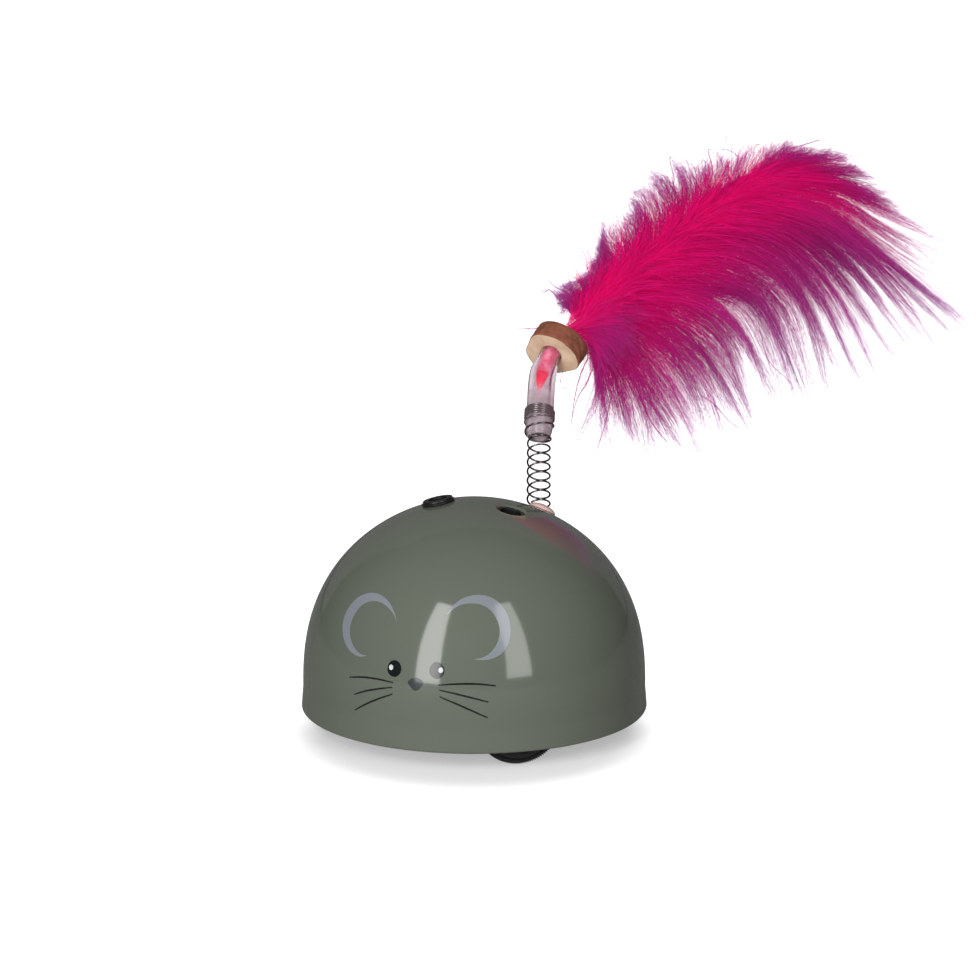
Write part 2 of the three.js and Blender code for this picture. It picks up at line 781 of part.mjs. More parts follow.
casePostAngles.forEach((angle, index) => {
  const length = screwCupFloor + seatGap + caseScrewLength - caseScrewShankRadius;
  piece(base, `case_screw_${index + 1}`,
    screw(caseScrewShankRadius, caseScrewHeadRadius, caseScrewHeadHeight, length), steel)
    .position.set(casePostCircle * Math.cos(degrees(angle)), casePostCircle * Math.sin(degrees(angle)),
      screwHeadSink);
});

// Battery cells, side by side and turned end for end
for (let index = 0; index < cellCount; index++) {
  const nubFoot = cellLength / 2 - cellNubLength;
  const cell = turned([
    [0, -cellLength / 2],
    [cellRadius - cellShoulder, -cellLength / 2],
    [cellRadius, cellShoulder - cellLength / 2],
    [cellRadius, nubFoot - cellShoulder],
    [cellRadius - cellShoulder, nubFoot],
    [cellNubRadius, nubFoot],
    [cellNubRadius, cellLength / 2],
    [0, cellLength / 2],
  ], 20);
  const mesh = piece(base, `battery_cell_${index + 1}`, geometryOf(cell), cellWrap);
  mesh.rotation.y = index % 2 ? -quarterTurn : quarterTurn;
  mesh.position.set(0, bayNearEdge - bayWall - cellPitch * (index + 1 / 2), cellHeight);
}

// Contact plates with a cone of spring wire for each cell
for (const side of [-1, 1]) {
  const outer = bayHalfLength - seatGap;
  const inner = outer - contactThickness;
  const middleY = (index) => bayNearEdge - bayWall - cellPitch * (index + 1 / 2);
  let contact = block([inner, outer],
    [middleY(cellCount - 1) - contactSpringRadius, middleY(0) + contactSpringRadius],
    [cellHeight - contactHeight / 2, cellHeight + contactHeight / 2]);
  for (let index = 0; index < cellCount; index++) {
    const cone = turned([
      [0, -contactThickness / 2],
      [contactSpringRadius, -contactThickness / 2],
      [contactTipRadius, contactSpringLength],
      [0, contactSpringLength],
    ], 14);
    contact = contact.add(cone.rotate([0, -90, 0]).translate([inner, middleY(index), cellHeight]));
  }
  const whole = side > 0 ? contact : contact.mirror([1, 0, 0]);
  piece(base, side > 0 ? 'battery_contact_right' : 'battery_contact_left', geometryOf(whole), nickel);
}

// Battery door: two tabs hook over the tray's plate and a sprung tongue snaps the far edge shut
function batteryDoor() {
  const outline = roundedRectangle([-doorLength / 2, doorLength / 2], [doorFarEdge, doorNearEdge],
    doorThickness / 2);
  let door = plate(outline, doorThickness, 3);
  for (const side of [-1, 1]) {
    const span = [side * doorTabSpacing / 2 - doorTabWidth / 2, side * doorTabSpacing / 2 + doorTabWidth / 2];
    const tabTop = tabLow + doorTabThickness;
    const neck = block(span, [doorNearEdge - doorTabNeck, doorNearEdge], [doorThickness / 2, tabTop]);
    const tab = block(span, [doorNearEdge - doorTabNeck, doorNearEdge + doorTabReach], [tabLow, tabTop]);
    door = joined(door, neck, tab);
    const slotMiddle = side * (doorLatchWidth + doorLatchSlot) / 2;
    door = door.subtract(block([slotMiddle - doorLatchSlot / 2, slotMiddle + doorLatchSlot / 2],
      [doorFarEdge - cutOverrun, doorFarEdge + doorLatchSlotLength],
      [-cutOverrun, doorThickness + cutOverrun]));
  }
  const grip = rod(doorGripRadius, -doorGripWidth / 2, doorGripWidth / 2, 40).rotate([0, 90, 0])
    .translate([0, doorNearEdge - (doorNearEdge - doorFarEdge) / 4, doorGripDepth - doorGripRadius]);
  return geometryOf(door.subtract(grip));
}

piece(base, 'battery_door', batteryDoor(), blackPlastic);

// Slide switch above its slot in the tray
const switchRoom = knobWidth / 2 + seatGap;
const switchBody = block([-switchBodyLength / 2, switchBodyLength / 2],
  [switchSetback - switchBodyWidth / 2, switchSetback + switchBodyWidth / 2],
  [switchFloor, switchFloor + switchBodyHeight])
  .subtract(block([switchWall - switchBodyLength / 2, switchBodyLength / 2 - switchWall],
    [switchSetback - switchRoom, switchSetback + switchRoom],
    [switchFloor - cutOverrun, switchFloor + switchBodyHeight - switchWall]));
piece(base, 'switch_body', geometryOf(switchBody), steel);

let knob = block([-knobLength / 2, knobLength / 2], [-knobWidth / 2, knobWidth / 2],
  [-knobProud, switchFloor + switchBodyHeight - switchWall - seatGap]);
for (let ridge = 0; ridge < knobRidges; ridge++) {
  const pitch = knobLength / (2 * knobRidges + 1);
  const from = -knobLength / 2 + (2 * ridge + 1) * pitch;
  knob = knob.subtract(block([from, from + pitch], [-knobWidth, knobWidth],
    [-knobProud - cutOverrun, knobRidgeDepth - knobProud]));
}
piece(base, 'power_switch', geometryOf(knob), naturalNylon)
  .position.set(-switchTravel / 2, switchSetback, 0);

// Half the angle that a tooth fills at a given radius, from the involute of the gear's base circle
function toothHalfAngle(teeth, radius) {
  const pitchRadius = gearModule * teeth / 2;
  const baseRadius = pitchRadius * Math.cos(pressureAngle);
  const involute = (angle) => Math.tan(angle) - angle;
  const atRadius = Math.acos(Math.min(1, baseRadius / radius));
  return quarterTurn / teeth - toothPlay / (2 * pitchRadius) + involute(pressureAngle) - involute(atRadius);
}

// A spur gear about Z whose first tooth points along the given angle
function spurGear(teeth, bore, from, to, toothAngle) {
  const pitchRadius = gearModule * teeth / 2;
  const tip = pitchRadius + addendumShare * gearModule;
  const root = pitchRadius - dedendumShare * gearModule;
  const outline = [];
  const flankRadii = teeth > 2 * smallTeeth ? [root, tip] : [root, pitchRadius, tip];
  for (let tooth = 0; tooth < teeth; tooth++) {
    const middle = toothAngle + fullTurn * tooth / teeth;
    const flank = flankRadii.map((radius) => [radius, toothHalfAngle(teeth, radius)]);
    const rising = flank.map(([radius, half]) => [radius, middle - half]);
    const falling = flank.map(([radius, half]) => [radius, middle + half]).reverse();
    outline.push(...rising, ...falling);
  }
  const shape = new THREE.Shape(outline.map(([radius, angle]) =>
    new THREE.Vector2(radius * Math.cos(angle), radius * Math.sin(angle))));
  shape.holes.push(new THREE.Path().absarc(0, 0, bore, 0, fullTurn));
  return plate(shape, to - from, 9).translate([0, 0, from]);
}

// One side's drive: its Z axis runs outwards along the axle, so it holds the same heights on both sides
function driveSide(side) {
  const word = side > 0 ? 'right' : 'left';
  const drive = new THREE.Group();
  drive.rotation.y = side * quarterTurn;
  base.add(drive);
  // A place or direction in the plane across the axle: along the base's Y, and up
  const inPlane = ([across, height]) => [-side * height, across];
  const angleOf = (direction) => {
    const [x, y] = inPlane([Math.cos(direction), Math.sin(direction)]);
    return Math.atan2(y, x);
  };
  const at = (mesh, stage) => mesh.position.set(...inPlane(stageAxes[stage]), 0);
  const towards = (stage) => angleOf(degrees(stageDirections[stage]));
  const halfTooth = halfTurn / smallTeeth;

  // Wheel with its gear, and its ridged tyre
  const axleBore = axleRadius + runningGap;
  const hubRadius = wheelRadius - tyreThickness;
  const outerFace = wheelInnerFace + wheelWidth;
  const webFace = outerFace - hubWeb - seatGap;
  let hub = turned([
    [axleBore, layerStart[2] + gearWidth / 2],
    [hubBossRadius, layerStart[2] + gearWidth / 2],
    [hubBossRadius, webFace],
    [hubRadius - hubRimWall, webFace],
    [hubRadius - hubRimWall, wheelInnerFace],
    [hubRadius, wheelInnerFace],
    [hubRadius, outerFace],
    [hubRadius - hubRimWall, outerFace],
    [hubRadius - hubRimWall, webFace + hubWeb],
    [axleBore, webFace + hubWeb],
    [axleBore, layerStart[2] + gearWidth / 2],
  ], 30);
  for (let hole = 0; hole < hubHoles; hole++) {
    const angle = fullTurn * hole / hubHoles;
    const circle = (hubBossRadius + hubRadius - hubRimWall) / 2;
    hub = hub.subtract(rod(hubHoleRadius, webFace - cutOverrun, outerFace, 12)
      .translate([circle * Math.cos(angle), circle * Math.sin(angle), 0]));
  }
  hub = hub.add(spurGear(largeTeeth, axleBore, layerStart[2], layerStart[2] + gearWidth, towards(0)));
  at(piece(drive, `${word}_wheel_hub`, geometryOf(hub), blackPlastic), 0);

  const tread = new THREE.Shape();
  for (let point = 0; point < 2 * tyreRidges; point++) {
    const angle = halfTurn * point / tyreRidges;
    const radius = wheelRadius - (point % 2) * tyreRidgeDepth;
    const place = [radius * Math.cos(angle), radius * Math.sin(angle)];
    if (point === 0) tread.moveTo(...place);
    else tread.lineTo(...place);
  }
  tread.holes.push(new THREE.Path().absarc(0, 0, hubRadius + runningGap, 0, fullTurn));
  const tyre = plate(tread, wheelWidth, 24).translate([0, 0, wheelInnerFace]);
  at(piece(drive, `${word}_tyre`, geometryOf(tyre), blackRubber), 0);

  // Headed axle, fast in the bracket
  const headFace = webFace + hubWeb + runningGap;
  const axle = turned([
    [0, bracketInnerFace],
    [axleRadius, bracketInnerFace],
    [axleRadius, headFace],
    [axleHeadRadius, headFace],
    [axleHeadRadius, headFace + axleHeadHeight],
    [0, headFace + axleHeadHeight],
  ], 20);
  at(piece(drive, `${word}_axle`, geometryOf(axle), steel), 0);

  // Two compound idlers: each has its large gear one layer nearer the bracket than its small one
  const idlerBore = idlerPinRadius + runningGap;
  const idler = (stage, layer) => {
    const small = spurGear(smallTeeth, idlerBore, layerStart[layer] + gearWidth / 2,
      layerStart[layer + 1] + gearWidth, towards(stage - 1) + halfTurn + halfTooth);
    const large = spurGear(largeTeeth, idlerBore, layerStart[layer], layerStart[layer] + gearWidth,
      towards(stage));
    return geometryOf(small.add(large));
  };
  at(piece(drive, `${word}_outer_idler`, idler(1, 1), naturalNylon), 1);
  at(piece(drive, `${word}_inner_idler`, idler(2, 0), naturalNylon), 2);
  const pin = (shoulderEnd, end) => geometryOf(turned([
    [0, bracketInnerFace],
    [idlerShoulderRadius, bracketInnerFace],
    [idlerShoulderRadius, shoulderEnd],
    [idlerPinRadius, shoulderEnd],
    [idlerPinRadius, end],
    [0, end],
  ], 14));
  at(piece(drive, `${word}_outer_idler_pin`,
    pin(layerStart[1] - runningGap, layerStart[2] + gearWidth + seatGap), steel), 1);
  at(piece(drive, `${word}_inner_idler_pin`,
    pin(layerStart[0] - runningGap, layerStart[1] + gearWidth + seatGap), steel), 2);

  // Bracket plate that carries the axle, the idler pins and the motor
  const low = trayPlate + seatGap;
  const high = Math.max(...stageAxes.map(([, height]) => height)) + bracketMargin;
  const near = stageAxes[0][0] - bracketMargin;
  const far = stageAxes[3][0] + bracketMargin;
  const corner = bracketCornerRound;
  const face = roundedRectangle(side > 0 ? [-high, -low] : [low, high], [near, far], corner);
  let bracket = plate(face, bracketThickness, 4).translate([0, 0, bracketInnerFace]);
  const [axleX, axleY] = inPlane(stageAxes[0]);
  bracket = bracket.add(rod(bracketBossRadius, bracketInnerFace, layerStart[1] - gearLayerGap)
    .translate([axleX, axleY, 0]));
  const openings = [axleRadius, idlerShoulderRadius, idlerShoulderRadius, motorBossRadius];
  openings.forEach((radius, stage) => {
    const [x, y] = inPlane(stageAxes[stage]);
    bracket = bracket.subtract(rod(radius + runningGap, bracketInnerFace - cutOverrun, layerStart[2])
      .translate([x, y, 0]));
  });
  piece(drive, `${word}_gear_bracket`, geometryOf(bracket), naturalNylon);

  // Motor can with two flats, its end cap and boss, its terminals, its shaft and its pinion
  const motorEnd = motorFace - motorLength;
  const flats = block([-motorFlatHeight / 2, motorFlatHeight / 2], [-motorRadius, motorRadius],
    [motorEnd, motorFace]);
  const capStart = motorEnd + motorCapLength;
  const terminals = [-1, 1].map((end) => block(
    [-motorTerminalWidth / 2, motorTerminalWidth / 2],
    [end * motorRadius / 2 - motorTerminalThickness / 2, end * motorRadius / 2 + motorTerminalThickness / 2],
    [motorEnd - motorTerminalLength, motorEnd + motorCapLength / 2]));
  const motor = joined(
    rod(motorRadius, motorEnd, motorFace, 28).intersect(flats),
    rod(motorBossRadius, motorFace - cutOverrun, motorFace + motorBossLength),
    rod(motorBossRadius, motorEnd - motorTailBossLength, capStart),
    ...terminals,
  ).subtract(rod(motorShaftRadius + runningGap, motorFace - motorShaftBury,
    motorFace + motorBossLength + cutOverrun, 12));
  at(piece(drive, `${word}_motor`, geometryOf(motor), steel), 3);

  const shaftEnd = layerStart[0] + gearWidth;
  const shaft = rod(motorShaftRadius, motorFace - motorShaftBury + seatGap, shaftEnd, 12);
  at(piece(drive, `${word}_motor_shaft`, geometryOf(shaft), steel), 3);
  const pinion = spurGear(smallTeeth, motorShaftRadius + runningGap, layerStart[0], shaftEnd,
    towards(2) + halfTurn + halfTooth);
  at(piece(drive, `${word}_pinion`, geometryOf(pinion), naturalNylon), 3);
}

driveSide(1);
driveSide(-1);

// Translucent plug that snaps into the dome and holds the spring's foot
const plugRadius = tailHoleRadius + plugFlangeOverlap;
const plugBarbRadius = tailHoleRadius + plugBarbOverlap;
piece(tailSeat, 'tail_plug', geometryOf(turned([
  [0, -domeWall - plugBarbLength],
  [tailHoleRadius - 2 * seatGap, -domeWall - plugBarbLength],
  [plugBarbRadius, -domeWall - 2 * seatGap],
  [tailHoleRadius - seatGap, -domeWall - 2 * seatGap],
  [tailHoleRadius - seatGap, seatGap],
  [plugRadius, seatGap],
  [plugRadius, plugHeight / 2 + seatGap],
  [plugRadius - plugHeight / 2, plugHeight + seatGap],
  [0, plugHeight + seatGap],
], 28)), pinkSilicone);

// The tail's centre line, from just above the plug to the plume's root
const tailPlace = (share) => new THREE.Vector3(...share).multiplyScalar(tailReach).add(tailSeat.position);
const tailLine = new THREE.CatmullRomCurve3(tailRouteShares.map(tailPlace));
const lineLength = tailLine.getLength();
const tubeStart = springFreeTurns * springPitch;

// Frames along the line that don't twist, for the wire to wind about
function lineFrames(count) {
  const across = new THREE.Vector3(1, 0, 0);
  return Array.from({ length: count + 1 }, (_, index) => {
    const share = index / count;
    const tangent = tailLine.getTangentAt(share);
    across.addScaledVector(tangent, -across.dot(tangent)).normalize();
    const upward = new THREE.Vector3().crossVectors(tangent, across);
    return { point: tailLine.getPointAt(share), tangent, across: across.clone(), upward };
  });
}

// Spring: free turns, a stretched turn that climbs on to the tube, then close turns that grip it
function springPath() {
  const frames = lineFrames(springRouteFrames);
  const plugNormal = domeNormalAt(tailAcross, tailBack);
  const highSide = Math.atan2(plugNormal.dot(frames[0].upward), plugNormal.dot(frames[0].across));
  const gripRadius = tubeRadius + seatGap + springWire / 2;
  const turns = springFreeTurns + springEntryTurns + springBandTurns;
  const steps = Math.round(turns * springStepsPerTurn);
  const path = [];
  for (let step = 0; step <= steps; step++) {
    const turn = turns * step / steps;
    const free = Math.min(turn, springFreeTurns);
    const entry = Math.min(Math.max(turn - springFreeTurns, 0), springEntryTurns);
    const band = Math.max(turn - springFreeTurns - springEntryTurns, 0);
    const along = free * springPitch + entry * springEntryPitch + band * springBandPitch;
    const nearest = Math.round(springRouteFrames * along / lineLength);
    const frame = frames[nearest];
    const offset = along - nearest * lineLength / springRouteFrames;
    const widening = Math.min(1, Math.max(0, (along - tubeStart + springPitch) / (springPitch - springWire)));
    const radius = springCoilRadius + (gripRadius - springCoilRadius) * widening;
    const angle = highSide - degrees(springStartLag) + fullTurn * turn;
    path.push(frame.point.clone()
      .addScaledVector(frame.tangent, offset)
      .addScaledVector(frame.across, radius * Math.cos(angle))
      .addScaledVector(frame.upward, radius * Math.sin(angle)));
  }
  const last = path[path.length - 1];
  const ahead = last.clone().sub(path[path.length - 2]).normalize();
  path.push(last.clone().addScaledVector(ahead, springWire));
  return path;
}

const wirePath = springPath();
piece(toy, 'tail_spring', loft(circlesAlong(wirePath, () => springWire / 2, wireSides)), steel);

// The spring's least gap to itself: from each point to all points over half a turn away
let leastGap = Infinity;
wirePath.forEach((point, index) => {
  wirePath.forEach((other, otherIndex) => {
    if (otherIndex - index > springStepsPerTurn / 2) {
      leastGap = Math.min(leastGap, point.distanceTo(other) - springWire);
    }
  });
});
console.log(`spring: ${wirePath.length} points, least gap between turns ${leastGap.toFixed(2)} mm`);

// Clear tube that the spring grips, narrowed at its lower lip and again where it enters the bead
const beadMiddle = beadPlaceShare * lineLength;
const tubeEnd = beadMiddle;
const neckStart = beadMiddle - beadThickness / 2 - tubeNeckLength - tubeTaperLength;
function tubeRadiusAt(along) {
  const lip = Math.min(1, (along - tubeStart) / tubeLipLength);
  const neck = Math.min(1, Math.max(0, (along - neckStart) / tubeTaperLength));
  return tubeLipRadius + (tubeRadius - tubeLipRadius) * lip - (tubeRadius - tubeNeckRadius) * neck;
}

function lineSweep(from, to, steps, sides, radiusAt) {
  const points = Array.from({ length: steps + 1 }, (_, step) =>
    tailLine.getPointAt((from + (to - from) * step / steps) / lineLength));
  return solid(loft(circlesAlong(points, (share) => radiusAt(from + (to - from) * share), sides)));
}

const tubeOuter = lineSweep(tubeStart, tubeEnd, 10, 16, tubeRadiusAt);
const tubeInner = lineSweep(tubeStart - cutOverrun, tubeEnd + cutOverrun, 10, 12, () => tubeBore);
piece(toy, 'tail_tube', geometryOf(tubeOuter.subtract(tubeInner)), clearVinyl);

// Bead sawn from a branch, strung on the tube's end
const beadGroup = new THREE.Group();
beadGroup.position.copy(tailLine.getPointAt(beadPlaceShare));
beadGroup.quaternion.setFromUnitVectors(new THREE.Vector3(0, 0, 1), tailLine.getTangentAt(beadPlaceShare));
toy.add(beadGroup);
const beadSides = 28;
const branch = new THREE.Shape(Array.from({ length: beadSides }, (_, index) => {
  const angle = fullTurn * index / beadSides;
  const uneven = beadUneven * (Math.sin(3 * angle + 1) + Math.sin(5 * angle) / 2);
  return new THREE.Vector2((beadWidth / 2 + uneven) * Math.cos(angle), (beadDepth / 2 + uneven) * Math.sin(angle));
}));
const beadBlank = solid(new THREE.ExtrudeGeometry(branch, {
  depth: beadThickness - 2 * beadBevel,
  bevelThickness: beadBevel,
  bevelSize: beadBevel,
  bevelOffset: -beadBevel,
  bevelSegments: 1,
}));
const beadSolid = beadBlank.translate([0, 0, beadBevel - beadThickness / 2])
  .subtract(rod(tubeNeckRadius + seatGap, -beadThickness, beadThickness, 18));
piece(beadGroup, 'wood_bead', geometryOf(beadSolid), beadWood);

// The feather's bare quill, inside the tube and the bead
const quillStart = beadMiddle - quillBuryLength;
const quillEnd = lineLength - quillRadius;
const quill = lineSweep(quillStart, quillEnd, 10, 10, (along) =>
  quillEndRadius + (quillRadius - quillEndRadius) * Math.min(1, (along - quillStart) / quillTipLength));
piece(toy, 'feather_quill', geometryOf(quill), pinkQuill);

// The plume: lens-shaped sections between its upper and lower edges, notched into tufts
function plumeSkin() {
  const plane = new THREE.Group();
  plane.rotation.order = 'ZXY';
  plane.rotation.set(-degrees(plumeLean), 0, degrees(plumeAzimuth));
  plane.position.copy(tailLine.getPointAt(1));
  plane.updateMatrix();
  const curveOf = (shares) => new THREE.CatmullRomCurve3(shares.map(([along, up, away = 0]) =>
    new THREE.Vector3(along, away, up).multiplyScalar(plumeReach)));
  const spine = curveOf(plumeSpineShares);
  const upper = curveOf(plumeUpperShares);
  const lower = curveOf(plumeLowerShares);
  const rings = Array.from({ length: plumeStations + 1 }, (_, station) => {
    const share = station / plumeStations;
    const middle = spine.getPoint(share);
    const notch = 1 - plumeNotchShare * (station % 2);
    const up = upper.getPoint(share).multiplyScalar(notch);
    const down = lower.getPoint(share).multiplyScalar(notch);
    const half = plumeThickness / 2 * Math.max(Math.sin(halfTurn * share) ** (1 / 2), 1 / 4);
    const section = (towardsEdge, part, thick) =>
      middle.clone().addScaledVector(towardsEdge, part).add(new THREE.Vector3(0, thick, 0));
    return [
      section(up, 1, -half / 5),
      section(up, 1 / 2, -half),
      section(down, 0, -half),
      section(down, 1 / 2, -half * 3 / 4),
      section(down, 1, -half / 5),
      section(down, 1, half / 5),
      section(down, 1 / 2, half * 3 / 4),
      section(down, 0, half),
      section(up, 1 / 2, half),
      section(up, 1, half / 5),
    ].map((point) => point.applyMatrix4(plane.matrix));
  });
  return solid(loft(rings));
}
const quillSocket = lineSweep(quillEnd - quillPlumeLength, lineLength, 6, 10, () => quillRadius + seatGap);
piece(toy, 'feather_plume', geometryOf(plumeSkin().subtract(quillSocket)), magentaPlume);

export default toy;
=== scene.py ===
import math

import bpy
import numpy as np
from mathutils import Matrix, Vector


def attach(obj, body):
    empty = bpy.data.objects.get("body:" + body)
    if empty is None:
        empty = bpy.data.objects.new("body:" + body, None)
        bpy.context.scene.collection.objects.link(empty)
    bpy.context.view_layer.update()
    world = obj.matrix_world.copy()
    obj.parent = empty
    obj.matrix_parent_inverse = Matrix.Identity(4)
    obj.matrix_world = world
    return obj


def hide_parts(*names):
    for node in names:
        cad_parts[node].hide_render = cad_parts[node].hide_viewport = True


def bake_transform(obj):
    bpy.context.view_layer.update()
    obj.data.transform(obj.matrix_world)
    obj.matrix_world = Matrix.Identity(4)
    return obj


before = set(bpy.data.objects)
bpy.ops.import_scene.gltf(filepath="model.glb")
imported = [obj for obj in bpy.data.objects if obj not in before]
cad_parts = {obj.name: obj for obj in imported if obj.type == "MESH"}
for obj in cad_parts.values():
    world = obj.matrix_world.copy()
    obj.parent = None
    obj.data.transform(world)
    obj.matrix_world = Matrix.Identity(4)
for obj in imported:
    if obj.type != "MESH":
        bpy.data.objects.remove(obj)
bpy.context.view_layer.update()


def linear(code):
    """sRGB hex to linear light: c / 12.92 up to 0.04045, else ((c + 0.055) / 1.055) ** 2.4, with alpha 1."""
    parts = [int(code[i:i + 2], 16) / 255 for i in (0, 2, 4)]
    return [c / 12.92 if c <= 0.04045 else ((c + 0.055) / 1.055) ** 2.4 for c in parts] + [1.0]


def add_node(tree, kind, inputs=None, **settings):
    """A new shader node with its settings and its inputs, each a constant or another node's output."""
    made = tree.nodes.new(kind)
    for key, value in settings.items():
        setattr(made, key, value)
    for socket, value in (inputs or {}).items():
        if isinstance(value, bpy.types.NodeSocket):
            tree.links.new(value, made.inputs[socket])
        else:
            made.inputs[socket].default_value = value
    return made


def combine(tree, operation, one, other=0.0):
    """The result of a Math node."""
    return add_node(tree, "ShaderNodeMath", {0: one, 1: other}, operation=operation).outputs[0]


def mapped(tree, value, low, high, start=0.0, end=1.0, kind="LINEAR"):
    """The result of a Map Range node: low where the value is start, and high where it is end."""
    return add_node(tree, "ShaderNodeMapRange", {
        "Value": value, "From Min": start, "From Max": end, "To Min": low, "To Max": high},
        interpolation_type=kind).outputs["Result"]


def seen_straight(tree):
    """1 for what the camera sees, also through a clear piece, and 0 for any other ray."""
    path = add_node(tree, "ShaderNodeLightPath").outputs
    return combine(tree, "MAXIMUM", path["Is Camera Ray"], path["Is Transmission Ray"])


def finish(name, code, roughness, more=None, bump=None, speckle=None):
    """A Principled material of a colour and a roughness, with more constants on its own sockets.
    bump is (noise scale per metre, height in metres), and speckle (noise scale, second colour, share)."""
    made = bpy.data.materials.new(name)
    made.use_nodes = True
    tree = made.node_tree
    shader = tree.nodes["Principled BSDF"]
    for socket, value in {"Base Color": linear(code), "Roughness": roughness, **(more or {})}.items():
        shader.inputs[socket].default_value = value
    where = add_node(tree, "ShaderNodeTexCoord").outputs["Object"]
    if speckle:
        scale, second, share = speckle
        noise = add_node(tree, "ShaderNodeTexNoise", {"Vector": where, "Scale": scale, "Detail": 5.0})
        amount = mapped(tree, noise.outputs["Fac"], 0.0, share, 0.35, 0.7)
        mix = add_node(tree, "ShaderNodeMix", {"Factor": amount}, data_type="RGBA")
        mix.inputs["A"].default_value = linear(code)
        mix.inputs["B"].default_value = linear(second)
        tree.links.new(mix.outputs["Result"], shader.inputs["Base Color"])
    if bump:
        scale, height = bump
        noise = add_node(tree, "ShaderNodeTexNoise", {"Vector": where, "Scale": scale, "Detail": 4.0})
        relief = add_node(tree, "ShaderNodeBump", {"Height": noise.outputs["Fac"], "Distance": height})
        tree.links.new(relief.outputs["Normal"], shader.inputs["Normal"])
    return made


def make_piece(name, points, faces, materials, body=None, smooth=True, index=None):
    """A mesh of points in millimetres and faces of equal length, riding on a body, with its materials."""
    points = np.asarray(points, float) / 1000
    faces = np.asarray(faces, np.int32)
    mesh = bpy.data.meshes.new(name)
    mesh.vertices.add(len(points))
    mesh.vertices.foreach_set("co", points.ravel())
    count, sides = faces.shape
    mesh.loops.add(count * sides)
    mesh.loops.foreach_set("vertex_index", faces.ravel())
    mesh.polygons.add(count)
    mesh.polygons.foreach_set("loop_start", np.arange(count, dtype=np.int32) * sides)
    mesh.polygons.foreach_set("use_smooth", np.full(count, smooth))
    for made in materials:
        mesh.materials.append(made)
    if index is not None:
        mesh.polygons.foreach_set("material_index", np.asarray(index, np.int32))
    mesh.update(calc_edges=True)
    mesh.validate()
    piece = bpy.data.objects.new(name, mesh)
    bpy.context.scene.collection.objects.link(piece)
    if body:
        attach(piece, body)
    return piece


def grid(rows, columns, close_rows=False, close_columns=False):
    """Quads between neighbours of a rows x columns grid of points, wrapped round where it is closed."""
    row = np.arange(rows if close_rows else rows - 1)[:, None]
    column = np.arange(columns if close_columns else columns - 1)[None, :]
    below, right = (row + 1) % rows, (column + 1) % columns
    corners = ((row, column), (row, right), (below, right), (below, column))
    return np.stack([r * columns + c for r, c in corners], -1).reshape(-1, 4)


def lathe(profile, columns, close=True):
    """Points (r cos a, r sin a, z) of a profile of (r, z) turned about Z, and their quads."""
    profile = np.asarray(profile, float)
    angle = np.linspace(0, 2 * np.pi, columns, endpoint=False)
    r, z = profile[:, :1], profile[:, 1:]
    points = np.stack([r * np.cos(angle), r * np.sin(angle), np.broadcast_to(z, (len(r), columns))], -1)
    return points.reshape(-1, 3), grid(len(profile), columns, close, True)


def rounded(profile, radius, steps=5, closed=True):
    """The profile with each corner replaced by a quadratic arc that starts a radius away on both sides."""
    profile = np.asarray(profile, float)
    out = []
    for i, corner in enumerate(profile):
        if not closed and i in (0, len(profile) - 1):
            out.append(corner)
            continue
        before, after = profile[i - 1] - corner, profile[(i + 1) % len(profile)] - corner
        near, far = np.linalg.norm(before), np.linalg.norm(after)
        a = corner + before / near * min(radius, 0.45 * near)
        b = corner + after / far * min(radius, 0.45 * far)
        for t in np.linspace(0, 1, steps):
            out.append((1 - t) ** 2 * a + 2 * t * (1 - t) * corner + t ** 2 * b)
    return np.array(out)


def view_axes(azimuth, elevation):
    """Rows right, up and back of a view along an azimuth that looks down by an elevation, in degrees."""
    a, e = math.radians(azimuth), math.radians(elevation)
    return np.array([[math.cos(a), math.sin(a), 0.0],
                     [-math.sin(a) * math.sin(e), math.cos(a) * math.sin(e), math.cos(e)],
                     [math.sin(a) * math.cos(e), -math.cos(a) * math.cos(e), math.sin(e)]])


# Camera at the photograph's place, fitted to the rim's ellipse, the dome's outline and its openings.
photo_size, sensor_width, lens = 980, 36.0, 119.607
camera_place = np.array([0.29112576, -0.8130827, 0.25326333])
camera_data = bpy.data.cameras.new("camera")
camera_data.sensor_width = sensor_width
camera_data.lens = lens
camera_data.clip_start = 0.05
camera = bpy.data.objects.new("camera", camera_data)
bpy.context.scene.collection.objects.link(camera)
camera_axes = view_axes(19.412553, 12.597461)
camera_matrix = Matrix.Identity(4)
for column, axis in enumerate(camera_axes):
    for row in range(3):
        camera_matrix[row][column] = axis[row]
for row, place in enumerate(camera_place):
    camera_matrix[row][3] = place
camera.matrix_world = camera_matrix
bpy.context.scene.camera = camera
bpy.context.scene.view_settings.view_transform = "Standard"

# Studio: a pale floor that runs on all round, a dim room with a brighter backdrop behind the toy, and
# two upright strip lamps beside the camera, which the glossy dome mirrors; soft lamps hang above,
# in front and behind. The camera sees the shadow under the toy, and pure white floor further out.
ground, floor_half = -5.3, 6000
shadow_middle, shadow_reach, shadow_end = (0.004, -0.0113, -0.0053), 0.04, 0.057
floor_finish = finish("pale_floor", "f4f4f4", 0.9)
floor_tree = floor_finish.node_tree
floor_shader = floor_tree.nodes["Principled BSDF"]
floor_seen = seen_straight(floor_tree)
floor_tone = add_node(floor_tree, "ShaderNodeMix", {"Factor": floor_seen}, data_type="RGBA")
floor_tone.inputs["A"].default_value = linear("8c8c8a")
floor_tone.inputs["B"].default_value = linear("f4f4f4")
floor_tree.links.new(floor_tone.outputs["Result"], floor_shader.inputs["Base Color"])
floor_place = add_node(floor_tree, "ShaderNodeTexCoord").outputs["Object"]
floor_from = add_node(floor_tree, "ShaderNodeVectorMath", {0: floor_place, 1: shadow_middle},
                      operation="SUBTRACT").outputs["Vector"]
